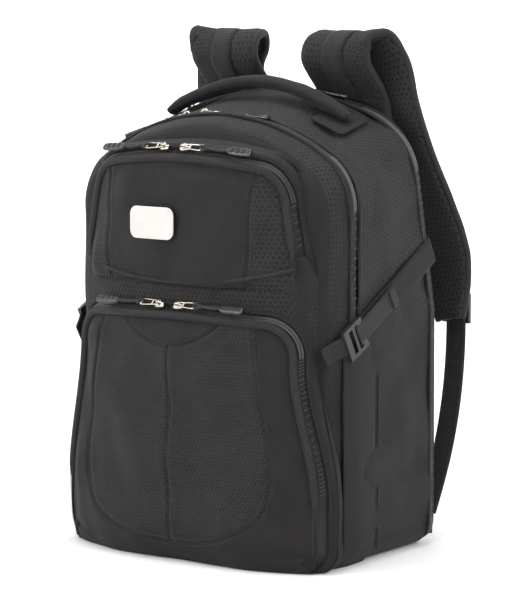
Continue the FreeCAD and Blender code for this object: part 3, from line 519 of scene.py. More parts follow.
def arch_open(low_z, count, *args, **keys):
    """The outline above a height, from its right end over the top to its left end."""
    half = arch_half(*args, **keys)
    start = int(np.argmax(half[:, 1] > low_z)) if low_z > 0 else 0
    if start:
        a, b = half[start - 1], half[start]
        s = (low_z - a[1]) / max(b[1] - a[1], 1e-9)
        half = np.vstack([[a + (b - a) * s], half[start:]])
    full = np.vstack([half, half[::-1][1:] * np.array([-1, 1])])
    return resample(full, count)


def inward(path, d):
    """Shifts an open outline (right end, top, left end) towards its inside."""
    t = np.gradient(path, axis=0)
    t /= np.maximum(np.linalg.norm(t, axis=1, keepdims=True), 1e-12)
    return path + np.stack([-t[:, 1], t[:, 0]], 1) * d


# ---------------------------------------------------------------- main section

MAIN = (0.1684, 0.4545, 0.265, 0.060, 0.026)
REAR = (0.1584, 0.4905, 0.350, 0.070, 0.026)
FACE = (0.1605, 0.4425, 0.265, 0.060, 0.026)


def rear_edge(z):
    """Depth of the shell's rear edge: upright below the bend, leaning above it."""
    return 0.1365 - 0.048 * np.clip((z - 0.25) / 0.226, 0, 1)


def shell_grid(front, rear, columns):
    """Shell surface between two depth functions of height."""
    a, b = arch_full(*MAIN), arch_full(*REAR)
    y0 = front(a[:, 1])
    y1 = rear(b[:, 1])
    P = np.zeros((len(a), columns, 3))
    for j, s in enumerate(np.linspace(0, 1, columns)):
        y = y0 + (y1 - y0) * s
        w = ((y + 0.008) / 0.158)[:, None]
        p = a + (b - a) * w
        P[:, j] = np.stack([p[:, 0], y, p[:, 1]], 1)
    return P


def side_share(P, low=0.03, high=0.36):
    """1 on the upright sides, 0 on the top and the base."""
    return smooth((P[..., 2] - low) / 0.05) * smooth((high - P[..., 2]) / 0.05)


skin = shell_grid(lambda z: np.where(z > 0.24, -0.0065, -0.0065 + 0.012 * smooth((0.24 - z) / 0.05)),
                  rear_edge, 60)
fold = wrinkle(skin, 0.0026, 0.085, 4) + wrinkle(skin, 0.0008, 0.032, 5)
bulge = 0.0022 * np.sin(np.linspace(0, math.pi, skin.shape[1]))[None] * side_share(skin, 0.02, 0.4)
skin += unit(np.stack([np.sign(skin[..., 0]) * (skin[..., 2] < 0.42), 0 * skin[..., 0],
                       1.0 * (skin[..., 2] >= 0.42)], -1)) * (bulge + fold * (skin[..., 2] > 0.02))[..., None]
skin[..., 2] = np.maximum(skin[..., 2], 0.0)
side_line = 0.2095 + 0.40 * skin[..., 1]
hexmask = (skin[..., 2] > side_line).astype(float)
main_skin = sheet_grid("main_shell_cloth", skin, M["hex"], 0.0012, closed=True, mask=hexmask,
                       out=(0, 0.06, 0.2))
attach(main_skin, "main_section")
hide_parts("shell_side_left", "shell_side_right", "shell_top", "shell_base")


def shell_side_x(y):
    """How far out the shell's side stands at a depth."""
    s = (y + 0.008) / 0.158
    return MAIN[0] + (REAR[0] - MAIN[0]) * s


def line_on_shell(points, offset=0.0):
    """Points (depth, height) on the right side, lifted off the cloth."""
    p = np.asarray(points, float)
    x = shell_side_x(p[:, 0]) + 0.0022 + offset
    return np.stack([x, p[:, 0], p[:, 1]], 1)


for side in (-1, 1):
    tag = "left" if side < 0 else "right"
    lines = [[(y, 0.2095 + 0.40 * y) for y in np.linspace(0.034, 0.132, 30)],
             [(0.033, z) for z in np.linspace(0.012, 0.222, 50)]]
    for k, line in enumerate(lines):
        p3 = line_on_shell(line, -0.0008) * np.array([side, 1, 1])
        seam = tube(f"side_seam_{tag}_{k}", p3, 0.0011, M["bind"], up=(side, 0, 0), sides=8, squash=0.6)
        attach(seam, "main_section")
        beside = np.array([side * 0.0012, 0.0028 if k else 0, -0.0028 * (1 - k)])
        row = stitches(f"side_seam_row_{tag}_{k}", p3 + beside, (side, 0, 0))
        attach(row, "main_section")


# ---------------------------------------------------------------- zips

def zip_coil(name, path, normal, pitch=0.0021, tooth=0.0029):
    """Closed coil zip: two rows of interlocked nylon teeth along a path."""
    path = np.asarray(path, float)
    both = np.hstack([path, np.broadcast_to(normal, path.shape)])
    total = np.linalg.norm(np.diff(path, axis=0), axis=1).sum()
    count = int(total / pitch)
    both = resample(both, count)
    spots, up = both[:, :3], unit(both[:, 3:])
    t = unit(np.gradient(spots, axis=0))
    side = unit(np.cross(t, up))
    verts, faces = [], []
    profile = [(-0.5, 0.25), (-0.32, 0.95), (0.0, 1.1), (0.32, 0.95), (0.5, 0.25)]
    for i in range(count):
        for hand in (-1, 1):
            shift = t[i] * (0.25 * hand * pitch)
            base = len(verts)
            for across, high in profile:
                c = spots[i] + side[i] * (hand * 0.55 + across) * tooth * 0.95 + shift
                for k in (-1, 1):
                    verts.append(c + t[i] * k * pitch * 0.26 + up[i] * high * 0.0010)
                verts.append(c + up[i] * (high * 0.0010 + 0.00045))
            for r in range(len(profile) - 1):
                a = base + r * 3
                faces.append((a, a + 2, a + 5, a + 3))
                faces.append((a + 2, a + 1, a + 4, a + 5))
    obj = mesh_object(name, np.array(verts), faces, M["coil"], np.zeros((len(verts), 3)),
                      np.zeros(len(verts)))
    return obj


def band_grid(profile, path, place):
    """Grid over a path (rows) and profile (columns); `place(p2, d, e)` gives the 3-D point."""
    cols = [place(inward(path, d), e) for d, e in profile]
    return np.stack(cols, 1)


# ---------------------------------------------------------------- front pockets

POCKETS = {
    "lower": dict(hw=0.1610, top=0.2665, crown=2.0, corner=0.046, zc=-0.1015, ze=-0.0670, body="lower_flap",
                  fold=0.082, bottom=0.0, rise=0.048, foot=-0.083),
    "upper": dict(hw=0.1480, top=0.4265, crown=0.7, corner=0.048, zc=-0.0945, ze=-0.0610, body="upper_flap",
                  fold=0.324, bottom=0.276, rise=0.030, foot=-0.078),
}


def face_y(pocket, x, z):
    """Depth of the pocket's bulging front."""
    p = POCKETS[pocket]
    across = np.abs(x) / p["hw"]
    side = p["ze"] + (0.007 * smooth((0.20 - z) / 0.12) if pocket == "lower" else 0.0)
    depth = p["zc"] + (side - p["zc"]) * np.minimum(across, 1.05) ** 3
    high = np.clip((p["top"] - z) / 0.07, 0, 1)
    depth = depth + 0.006 * (1 - high) ** 2
    low = np.clip((z - p["bottom"]) / p["rise"], 0, 1)
    foot = (1 - np.sqrt(np.clip(1 - (1 - low) ** 2, 0, 1)))
    return depth + (p["foot"] - p["zc"]) * foot * (1 - 0.45 * np.minimum(across, 1))


def flare(pocket, x, z):
    """Both pockets grow wider towards their feet."""
    if pocket != "lower":
        return x * (0.90 + 0.10 * smooth((0.40 - z) / 0.11))
    return x * (0.93 + 0.155 * smooth((0.215 - z) / 0.145))


def coons(path, low_points, n, m):
    """Even mesh inside an open outline whose ends are joined along the bottom."""
    corner_right = int(len(path) * 0.30)
    corner_left = len(path) - 1 - corner_right
    right = resample(path[:corner_right + 1], m)
    top = resample(path[corner_right:corner_left + 1][::-1], n)
    left = resample(path[corner_left:][::-1], m)
    bottom = resample(low_points, n)
    a = np.linspace(0, 1, n)[:, None, None]
    b = np.linspace(0, 1, m)[None, :, None]
    P = ((1 - b) * bottom[:, None] + b * top[:, None] + (1 - a) * left[None] + a * right[None]
         - ((1 - a) * (1 - b) * bottom[0] + a * (1 - b) * bottom[-1]
            + (1 - a) * b * top[0] + a * b * top[-1]))
    return P


def seam_distance(P2, line):
    """Distance in the plane from grid points to a polyline."""
    line = np.asarray(line, float)
    best = np.full(P2.shape[:-1], 1e9)
    for a, b in zip(line[:-1], line[1:]):
        ab = b - a
        t = np.clip(((P2 - a) @ ab) / max(ab @ ab, 1e-12), 0, 1)
        q = a + t[..., None] * ab
        best = np.minimum(best, np.linalg.norm(P2 - q, axis=-1))
    return best


def inside(P2, polygon):
    """Even-odd test of grid points against a closed polygon."""
    poly = np.asarray(polygon, float)
    x, z = P2[..., 0], P2[..., 1]
    hit = np.zeros(x.shape, bool)
    for (x1, z1), (x2, z2) in zip(poly, np.roll(poly, -1, 0)):
        cross = (z1 > z) != (z2 > z)
        with np.errstate(divide="ignore", invalid="ignore"):
            at = (x2 - x1) * (z - z1) / (z2 - z1 + 1e-15) + x1
        hit ^= cross & (x < at)
    return hit


def cover(pocket, seams, hex_zone, low_z):
    """Bulging front panel of a pocket out to its rolled edge."""
    p = POCKETS[pocket]
    path = arch_open(low_z, 260, p["hw"], p["top"], p["crown"], p["corner"],
                     0.026 if pocket == "lower" else 0.008, base=p["bottom"])
    rim = inward(path, 0.0125)
    low = np.stack([np.linspace(rim[-1, 0], rim[0, 0], 60), np.full(60, low_z)], 1)
    n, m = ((170, 130))
    low[:, 1] = rim[0, 1] if pocket == "lower" else low_z
    P2 = coons(rim, low, n, m)
    if pocket == "lower":
        skirt = [P2[:, 0] * [1 + 0.050 * k / 7, 1] + [0, (0.0008 - rim[0, 1]) * k / 7]
                 for k in range(7, 0, -1)]
        P2 = np.concatenate([np.stack(skirt, 1), P2], 1)
    x, z = P2[..., 0], P2[..., 1]
    y = face_y(pocket, x, z)
    groove = np.zeros(x.shape)
    for line in seams:
        d = seam_distance(P2, line)
        groove += 0.0019 * np.exp(-(d / 0.0019) ** 2) - 0.0005 * np.exp(-((d - 0.006) / 0.004) ** 2)
    edge = np.minimum(seam_distance(P2, rim), 0.03)
    edge = np.maximum(edge, 0.03 * smooth((0.02 - z) / 0.01)) if pocket == "lower" else edge
    puff = 0.0044 * smooth(edge / 0.022) - 0.0040
    P3 = np.stack([flare(pocket, x, z), y, z], -1)
    rough = wrinkle(P3, 0.0036, 0.075, 11 if pocket == "lower" else 12) + wrinkle(P3, 0.0007, 0.03, 13)
    P3[..., 1] += groove - puff - rough * smooth(edge / 0.02)
    hexes = np.zeros(x.shape)
    for zone in hex_zone:
        hexes = np.maximum(hexes, inside(P2, zone).astype(float))
    cloth = np.stack([x, z, 0 * x], -1)
    cells_kind = "hexfine" if pocket == "lower" else "hex"
    obj = sheet_grid(pocket + "_pocket_front_cloth", P3, M[cells_kind], 0.0014, cloth=cloth,
                     mask=hexes, out=(0, 0.2, (p["top"] + low_z) / 2))
    return obj


def on_face(pocket, line, lift=0.0):
    line = np.asarray(line, float)
    y = face_y(pocket, line[:, 0], line[:, 1]) - lift
    return np.stack([flare(pocket, line[:, 0], line[:, 1]), y, line[:, 1]], 1)


LOWER_HEX = [(-0.076, 0.258), (-0.055, 0.240), (-0.03, 0.228), (0, 0.223), (0.03, 0.228), (0.055, 0.240),
             (0.076, 0.258), (0.104, 0.262), (0.112, 0.20), (0.114, 0.12), (0.110, 0.078), (0.098, 0.052),
             (0.075, 0.036), (0.04, 0.025), (0, 0.022), (-0.04, 0.025), (-0.075, 0.036), (-0.098, 0.052),
             (-0.110, 0.078), (-0.114, 0.12), (-0.112, 0.20), (-0.104, 0.262)]
CRESCENT = LOWER_HEX[:7]
U_SEAM = [LOWER_HEX[7 + k] for k in range(len(LOWER_HEX) - 7)]
CENTRE_SEAM = [(0, 0.223), (0, 0.022)]
U_LINE = spline([(x, z, 0) for x, z in U_SEAM], 160)[:, :2]
CRESCENT_LINE = spline([(x, z, 0) for x, z in CRESCENT], 80)[:, :2]
UPPER_SEAMS = [[(s * 0.111, 0.42), (s * 0.088, 0.286)] for s in (-1, 1)]
UPPER_HEX = [[(s * 0.111, 0.44), (s * 0.088, 0.27), (s * 0.17, 0.27), (s * 0.17, 0.44)] for s in (-1, 1)]

hex_outline = np.vstack([CRESCENT_LINE, U_LINE])
lower_cover = cover("lower", [U_LINE, CRESCENT_LINE, CENTRE_SEAM], [hex_outline], 0.0008)
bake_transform(lower_cover)
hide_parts("lower_pocket_flap")
upper_cover = cover("upper", UPPER_SEAMS, UPPER_HEX, 0.2855)
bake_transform(upper_cover)
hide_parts("upper_pocket_flap")


def double_stitch(name, pocket, line, apart=0.0034):
    line = np.asarray(line, float)
    t = np.gradient(line, axis=0)
    t /= np.maximum(np.linalg.norm(t, axis=1, keepdims=True), 1e-12)
    side = np.stack([-t[:, 1], t[:, 0]], 1)
    return [stitches(name, on_face(pocket, line + side * k * apart, 0.0024), (0, -1, 0.05),
                     raise_by=0.0003) for k in (-1, 1)]


lower_stitch = join("lower_pocket_stitching",
                    double_stitch("a", "lower", resample(U_LINE, 200))
                    + double_stitch("b", "lower", CRESCENT_LINE)
                    + double_stitch("c", "lower", resample(np.array(CENTRE_SEAM), 60)))
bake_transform(lower_stitch)
upper_stitch = join("upper_pocket_stitching",
                    sum([double_stitch("d", "upper", resample(np.array(s), 60)) for s in UPPER_SEAMS], []))
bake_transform(upper_stitch)


def pocket_rings(pocket, zip_low, band_low):
    """Binding, zip tape, teeth and outer band round a pocket's opening."""
    p = POCKETS[pocket]
    low_corner = 0.026 if pocket == "lower" else 0.008

    def at(p2, e):
        y = face_y(pocket, p2[:, 0], p2[:, 1]) + e
        return np.stack([flare(pocket, p2[:, 0], p2[:, 1]), y, p2[:, 1]], 1)

    def path_from(z):
        return arch_open(z, 300, p["hw"], p["top"], p["crown"], p["corner"], low_corner, base=p["bottom"])

    made = {}
    long_path, zip_path = path_from(band_low), path_from(zip_low)
    tape_profile = [(0.0150, 0.0030), (0.0125, 0.0064), (0.0080, 0.0082), (0.0036, 0.0096), (0.0015, 0.0130)]
    tape = band_grid(tape_profile, long_path, at)
    made["tape"] = sheet_grid(pocket + "_zip_tape", tape, M["tape"], 0.0008, out=(0, 0.2, p["top"] - 0.1))
    coil_spots = at(inward(zip_path, 0.0080), 0.0074)
    t = unit(np.gradient(coil_spots, axis=0))
    across = at(inward(zip_path, 0.0036), 0.0096) - at(inward(zip_path, 0.0125), 0.0064)
    normal = unit(np.cross(across, t))
    normal *= np.sign(normal[:, 1:2]) * -1
    made["coil"] = zip_coil(pocket + "_zip_teeth", coil_spots, normal)
    body = [(0.0046, 0.0082), (0.0040, 0.0062), (0.0015, 0.0052), (-0.0010, 0.0066), (-0.0022, 0.0100),
            (-0.0020, 0.0150), (-0.0012, 0.0180)]
    cols = [at(inward(long_path, d), e) for d, e in body]
    edge = cols[-1]
    for share in np.linspace(0.12, 1, 9):
        q = edge.copy()
        q[:, 1] = edge[:, 1] + (-0.0485 - edge[:, 1]) * share
        grow = 0.004 * smooth(share) if pocket == "upper" else 0.0005
        centre = np.array([0, 0, p["top"] - 0.09])
        q[:, [0, 2]] += unit((q - centre)[:, [0, 2]]) * grow
        cols.append(q)
    band = np.stack(cols, 1)
    noise = wrinkle(band, 0.0007, 0.05, 21)
    noise[:, :6] *= 0.2
    band += grid_normals(band) * noise[..., None]
    made["band"] = sheet_grid(pocket + "_pocket_side_cloth", band, M["plain"], 0.0012,
                              out=(0, 0.05, p["top"] - 0.1))
    bind_low = zip_low - 0.03 if pocket == "lower" else zip_low - 0.02
    bind_path = path_from(max(bind_low, p["bottom"] + 0.002))
    core = at(inward(bind_path, 0.0128), 0.0020)
    fade = np.minimum(np.linspace(0, 1, len(core)), np.linspace(1, 0, len(core)))
    made["binding"] = tube(pocket + "_pocket_binding", core, 0.0005 + 0.0038 * smooth(fade / 0.05),
                           M["bind"], up=(0, -1, 0), sides=14, squash=0.72)
    for d, e, key in ((0.0100, -0.0006, "in"), (0.0012, 0.0047, "out")):
        row = at(inward(path_from(band_low + 0.004) if key == "out" else bind_path, d), e)
        made["stitch_" + key] = stitches(pocket + "_row_" + key, row, (0, -1, 0), raise_by=0.0001)
    return made


lower_rings = pocket_rings("lower", 0.082, 0.0008)
upper_rings = pocket_rings("upper", 0.330, 0.292)
for rings, pocket, flap, lo, hi in ((lower_rings, "lower", "lower_flap", 0.070, 0.096),
                                    (upper_rings, "upper", "upper_flap", 0.310, 0.338)):
    for key in ("tape", "coil", "band", "stitch_out"):
        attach(rings[key], "front_section")
    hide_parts(pocket + "_zip")
    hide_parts(pocket + "_pocket_pouch")
    for key in ("binding", "stitch_in"):
        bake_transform(rings[key])

# ---------------------------------------------------------------- front compartment

face, main = arch_full(*FACE), arch_full(*MAIN)
steps = [(-0.0125, 0.0, 0.0), (-0.018, 0.05, 0.0), (-0.026, 0.22, 0.0), (-0.034, 0.45, 0.0),
         (-0.041, 0.75, 0.0), (-0.0465, 1.0, 0.0025), (-0.0500, 1.0, 0.009), (-0.0520, 1.0, 0.020),
         (-0.0525, 1.0, 0.036), (-0.0525, 1.0, 0.055), (-0.0520, 1.0, 0.075)]
centre2 = np.array([0, 0.22])
cols = []
for y, s, pull_in in steps:
    p2 = main + (face - main) * s
    reach = np.linalg.norm(p2 - centre2, axis=1, keepdims=True)
    p2 = p2 + (centre2 - p2) / reach * pull_in
    depth = y + np.where(p2[:, 1] < 0.235, 0.006 * smooth((0.235 - p2[:, 1]) / 0.05) * (y > -0.02), 0)
    cols.append(np.stack([p2[:, 0], depth, p2[:, 1]], 1))
front = np.stack(cols, 1)
front = np.stack([np.stack([np.interp(np.linspace(0, 1, 44), np.linspace(0, 1, len(steps)), front[i, :, k])
                            for k in range(3)], 1) for i in range(len(front))])
rough = wrinkle(front, 0.0010, 0.06, 31)
front += grid_normals(front, True) * rough[..., None] * -1
front[..., 2] = np.maximum(front[..., 2], 0.0)
run = surface_run(front)
side_hex = ((np.abs(front[..., 0]) > 0.12) | (front[..., 2] > 0.38)) & (front[..., 2] > 0.235)
front_skin = sheet_grid("front_compartment_cloth", front, M["hex"], 0.0012, closed=True,
                        mask=side_hex.astype(float) * (front[..., 1] > -0.0435), out=(0, 0.1, 0.22))
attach(front_skin, "front_section")
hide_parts("front_top", "front_side_left", "front_side_right", "front_base")

cols = []
for share in np.linspace(0, 1, 30):
    q = face + (centre2 - face) * (0.075 + 0.915 * share)
    cols.append(np.stack([q[:, 0], np.full(len(q), -0.0478), q[:, 1]], 1))
wall = sheet_grid("front_wall_lining", np.stack(cols, 1), M["lining"], 0.0015, closed=True,
                  out=(0, 0.1, 0.22))
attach(wall, "front_section")
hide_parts("front_wall")

# Fabric corner that lets the front compartment swing forward below the zip.
low_main = main[(main[:, 1] < 0.236)]
order = np.argsort(np.where(low_main[:, 0] >= 0, 1, -1) * (low_main[:, 1] + 1e-3) + low_main[:, 0] * 1e-3)
low_main = low_main[order]
cols = []
for s in np.linspace(0, 1, 18):
    y = -0.030 + 0.056 * s
    out = 0.0012 + 0.0022 * math.sin(math.pi * s)
    w = max(0.0, (y + 0.008) / 0.158)
    p2 = low_main * np.array([1 - 0.06 * w, 1])
    grow = p2 * np.array([1 + out / 0.167, 1])
    grow[:, 1] = np.where(p2[:, 1] < 0.004, 0.0, p2[:, 1])
    cols.append(np.stack([grow[:, 0], np.full(len(grow), y), grow[:, 1]], 1))
corner = np.stack(cols, 1)
corner_skin = sheet_grid("front_corner_cloth", corner, M["plain"], 0.0010, out=(0, 0.0, 0.2))
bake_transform(corner_skin)

# Plain cloth between the two pockets.
xs = np.linspace(-0.1575, 0.1575, 110)
X = np.repeat(xs[:, None], 30, 1)
share = np.linspace(0, 1, 30)[None]
low_edge = 0.250 - 0.10 * smooth((np.abs(X) - 0.130) / 0.02)
high_edge = 0.302 + 0.02 * (np.abs(X) / 0.15) ** 2 - 0.035 * smooth((np.abs(X) - 0.143) / 0.0145)
Z = low_edge + (high_edge - low_edge) * share
Y = -0.0875 + 0.0370 * (np.abs(X) / 0.1575) ** 3 + 0.010 * smooth((np.abs(X) - 0.147) / 0.0105)
between = np.stack([X, Y + wrinkle(np.stack([X, Y, Z], -1), 0.0006, 0.05, 41), Z], -1)
strip = sheet_grid("front_band_cloth", between, M["hex"], 0.0012, out=(0, 0.2, 0.27))
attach(strip, "front_section")
under_line = np.array([(x, 0.2875 + 0.02 * (abs(x) / 0.14) ** 2) for x in np.linspace(-0.136, 0.136, 90)])
hem_pts = np.stack([under_line[:, 0], face_y("upper", under_line[:, 0], under_line[:, 1]) + 0.0005,
                    under_line[:, 1]], 1)
hem = tube("upper_pocket_lower_piping", hem_pts, 0.0022, M["bind"], up=(0, -1, 0), sides=10)
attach(hem, "front_section")

# Foot of the lower pocket, under the bulging front.
P_low = POCKETS["lower"]
xs = np.linspace(-1, 1, 90)
X = xs * (P_low["hw"] - 0.028)
foot_cols = []
for s in np.linspace(0, 1, 14):
    y_front = face_y("lower", X, np.full_like(X, 0.001)) + 0.0015
    y = y_front + (-0.030 - y_front) * s
    z = 0.0009 * (1 - smooth(s / 0.12))
    foot_cols.append(np.stack([flare("lower", X, np.full_like(X, 0.01)), y, np.full_like(X, z)], 1))
foot = np.stack(foot_cols, 1)
foot_skin = sheet_grid("lower_pocket_foot_cloth", foot, M["plain"], 0.0008, out=(0, -0.05, 0.3))
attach(foot_skin, "front_section")

# Rounded cloth corners where the cover, the zip's end and the foot meet.
for side, tag in ((-1, "left"), (1, "right")):
    heights = np.array([0.0066, 0.010, 0.015, 0.020])
    across = np.full(4, side * (P_low["hw"] - 0.021))
    depths = face_y("lower", across, heights) + 0.0075
    spots = np.stack([flare("lower", across, heights), depths, heights], 1)
    gusset = tube("lower_corner_gusset_" + tag, spline(spots, 14), 0.0070, M["plain"], up=(0, -1, 0),
                  sides=16)
    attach(gusset, "front_section")

# ---------------------------------------------------------------- main and rear zips

main_path = arch_open(0.205, 420, MAIN[0] + 0.0004, MAIN[1] + 0.0004, *MAIN[2:])
ring = np.stack([np.stack([q[:, 0], np.full(len(q), y), q[:, 1]], 1)
                 for q, y in ((inward(main_path, 0.0016), -0.0160), (inward(main_path, 0.0006), -0.0130),
                              (inward(main_path, 0.0004), -0.0095), (inward(main_path, 0.0016), -0.0060))], 1)
main_tape = sheet_grid("main_zip_tape", ring, M["tape"], 0.0010, out=(0, -0.01, 0.2))
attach(main_tape, "main_section")
coil3 = np.stack([main_path[:, 0], np.full(len(main_path), -0.0112), main_path[:, 1]], 1)
t2 = unit(np.gradient(main_path, axis=0))
radial = np.stack([t2[:, 1], np.zeros(len(t2)), -t2[:, 0]], 1)
main_coil = zip_coil("main_zip_teeth", coil3, radial)
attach(main_coil, "main_section")
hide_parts("main_zip")
for y, key in ((-0.0185, "front"), (-0.0035, "rear")):
    q = inward(main_path, -0.0004)
    line = np.stack([q[:, 0], np.full(len(q), y), q[:, 1]], 1)
    pipe = tube("main_zip_edge_" + key, line, 0.0021, M["bind"], up=(0, 1, 0), sides=10, squash=0.8)
    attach(pipe, "front_section" if key == "front" else "main_section")
    off = np.stack([q[:, 0], np.full(len(q), y + (0.0040 if y > -0.01 else -0.0040)), q[:, 1]], 1)
    row = stitches("main_zip_row_" + key, off + radial * 0.0008, radial)
    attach(row, "front_section" if key == "front" else "main_section")

REAR_OPEN = arch_open(0.012, 420, *REAR)


def at_rear(path, ahead, out=0.0):
    """Points round the shell's rear edge, moved out and ahead of the edge."""
    t = unit(np.gradient(path, axis=0))
    r = np.stack([t[:, 1], -t[:, 0]], 1)
    y = rear_edge(path[:, 1]) - ahead
    w = ((y + 0.008) / 0.158)[:, None]
    base = arch_open(0.012, len(path), *MAIN)
    q = base + (path - base) * w + r * out
    return np.stack([q[:, 0], y, q[:, 1]], 1), np.stack([r[:, 0], 0 * r[:, 0], r[:, 1]], 1)


rear_line, rear_radial = at_rear(REAR_OPEN, -0.0030, -0.0006)
edge_a, _ = at_rear(REAR_OPEN, 0.0010, -0.0010)
edge_b, _ = at_rear(REAR_OPEN, -0.0072, -0.0010)
rear_tape = sheet_grid("rear_zip_tape", np.stack([edge_a, rear_line, edge_b], 1), M["tape"], 0.0010,
                       out=(0, 0.1, 0.2))
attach(rear_tape, "back_section")
rear_coil = zip_coil("rear_zip_teeth", rear_line + rear_radial * 0.0006, rear_radial)
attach(rear_coil, "back_section")
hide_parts("rear_zip")
pipe_line, _ = at_rear(REAR_OPEN, 0.0028, 0.0006)
rear_pipe = tube("rear_zip_edge", pipe_line, 0.0020, M["bind"], up=(0, 1, 0), sides=10, squash=0.8)
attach(rear_pipe, "main_section")

# ---------------------------------------------------------------- back panel and pads

back_path = arch_full(0.1565, 0.4775, 0.350, 0.070, 0.026)


def back_depth(z):
    return 0.150 - 0.048 * np.clip((z - 0.25) / 0.226, 0, 1)


cols = []
for ahead, shrink in ((0.0095, 0.0), (0.006, 0.0006), (0.001, 0.0010), (-0.0020, 0.0045), (-0.0028, 0.012),
                      (-0.0028, 0.03), (-0.0026, 0.06), (-0.0024, 0.09), (-0.0022, 0.13)):
    centre = np.array([0, 0.24])
    reach = np.linalg.norm(back_path - centre, axis=1, keepdims=True)
    p2 = back_path + (centre - back_path) / reach * np.minimum(shrink, reach - 0.004)
    cols.append(np.stack([p2[:, 0], back_depth(p2[:, 1]) - ahead, p2[:, 1]], 1))
back = np.stack(cols, 1)
back = np.stack([np.stack([np.interp(np.linspace(0, 1, 40), np.linspace(0, 1, back.shape[1]), back[i, :, k])
                           for k in range(3)], 1) for i in range(len(back))])
back[..., 2] = np.maximum(back[..., 2], 0.0)
back_skin = sheet_grid("back_panel_cloth", back, M["plain"], 0.0012, closed=True, out=(0, 0.05, 0.24))
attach(back_skin, "back_section")
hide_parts("back_panel")


# ---------------------------------------------------------------- padded cushions on the back

def cushion(name, node, thickness):
    """Foam pad under mesh cloth, blown up by pressure from its flat outline."""
    low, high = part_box(node)
    low, high = np.array(low, float), np.array(high, float)
    width, height = high[0] - low[0], high[2] - low[2]
    cx = (low[0] + high[0]) / 2
    step = 0.005
    nx, nz = int(width / step), int(height / step)
    r = 0.020
    xs, zs = np.linspace(-1, 1, nx), np.linspace(-1, 1, nz)
    X, Z = np.meshgrid(xs * width / 2, zs * height / 2, indexing="ij")
    cx_in = np.clip(np.abs(X) - (width / 2 - r), 0, None)
    cz_in = np.clip(np.abs(Z) - (height / 2 - r), 0, None)
    over = np.maximum(np.hypot(cx_in, cz_in), 1e-9)
    keep = np.minimum(1, r / over)
    X = np.sign(X) * (np.minimum(np.abs(X), width / 2 - r) + cx_in * keep)
    Z = np.sign(Z) * (np.minimum(np.abs(Z), height / 2 - r) + cz_in * keep)
    wx = 1 - np.clip(np.abs(X) / (width / 2), 0, 1) ** 4
    wz = 1 - np.clip(np.abs(Z) / (height / 2), 0, 1) ** 6
    dome = np.sqrt(np.clip(wx * wz, 0, 1)) * thickness
    z_abs = (low[2] + high[2]) / 2 + Z
    lean = back_depth(z_abs) + 0.0024
    front = np.stack([cx + X, lean + dome, z_abs], -1)
    rear = np.stack([cx + X, lean - 0.0003 + 0 * dome, z_abs], -1)
    n, m = nx, nz
    verts = np.vstack([front.reshape(-1, 3), rear.reshape(-1, 3)])
    i, j = np.meshgrid(np.arange(n - 1), np.arange(m - 1), indexing="ij")
    a = i * m + j
    top = np.stack([a, a + 1, a + m + 1, a + m], -1).reshape(-1, 4)
    faces = np.vstack([top, top[:, ::-1] + n * m]).tolist()
    loop = ([k * m for k in range(n)] + [(n - 1) * m + k for k in range(1, m)]
            + [k * m + m - 1 for k in range(n - 2, -1, -1)] + [k for k in range(m - 2, 0, -1)])
    for p, q in zip(loop, loop[1:] + loop[:1]):
        faces.append((p, q, q + n * m, p + n * m))
    cloth = np.stack([X, Z, 0 * X], -1).reshape(-1, 3)
    obj = mesh_object(name, verts, faces, M["mesh"], np.vstack([cloth, cloth]), np.zeros(len(verts)))
    pinned = obj.vertex_groups.new(name="pinned")
    pinned.add([int(k) + n * m for k in range(n * m)], 1.0, "REPLACE")
    sim = obj.modifiers.new("cloth", "CLOTH")
    s = sim.settings
    s.quality = 5
    s.mass = 0.2
    s.tension_stiffness = 18
    s.compression_stiffness = 18
    s.bending_stiffness = 0.6
    s.use_pressure = True
    s.uniform_pressure_force = 2.0
    s.vertex_group_mass = "pinned"
    s.effector_weights.gravity = 0
    sim.collision_settings.use_collision = False
    sim.point_cache.frame_start, sim.point_cache.frame_end = 1, 14
    before = np.array([v.co for v in obj.data.vertices])
    for f in range(1, 15):
        bpy.context.scene.frame_set(f)
    dg = bpy.context.evaluated_depsgraph_get()
    after = np.array([v.co for v in obj.evaluated_get(dg).data.vertices])
    obj.modifiers.remove(sim)
    move = after - before
    size = np.linalg.norm(move, axis=1, keepdims=True)
    move = np.where(np.isfinite(move), move, 0) * np.minimum(1, 0.0045 / np.maximum(size, 1e-9))
    obj.data.vertices.foreach_set("co", (before + move).astype(np.float32).ravel())
    obj.data.update()
    bpy.context.scene.frame_set(1)
    edge = np.array([front.reshape(-1, 3)[k] for k in loop + loop[:1]])
    rim = tube(name + "_binding", resample(edge, len(loop)), 0.0026, M["bind"], up=(0, 1, 0), sides=8)
    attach(obj, "back_section")
    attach(rim, "back_section")
    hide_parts(node)
    return obj


for node in ("lumbar_pad", "back_pad_left", "back_pad_right", "back_pad_upper"):
    cushion(node + "_cloth", node, 0.0085)


# ---------------------------------------------------------------- shoulder straps

STRAP = [(74, 123, 444), (74, 118, 465), (74, 106, 483), (73.5, 93, 497), (73.5, 84, 510), (75, 86, 523),
         (79, 97, 531), (87, 111, 527), (96, 121, 508), (103, 130, 465), (108, 150, 415), (115, 178, 360),
         (127, 206, 290), (138, 204.5, 232)]
TAPER = [1, 1, 1, 1, 1, 1, 1, 1, 1, 1, 0.97, 0.86, 0.66, 0.40]
LOW = [(137.5, 215, 244), (139, 213, 222), (142, 203, 160), (143, 184, 95), (140, 158, 30)]


def mirrored(points, side):
    return np.array([(side * x, y, z) for x, y, z in points], float) / 1000


def outer_normals(path):
    t = unit(np.gradient(path, axis=0))
    return unit(np.cross(np.array([1.0, 0, 0]), t))


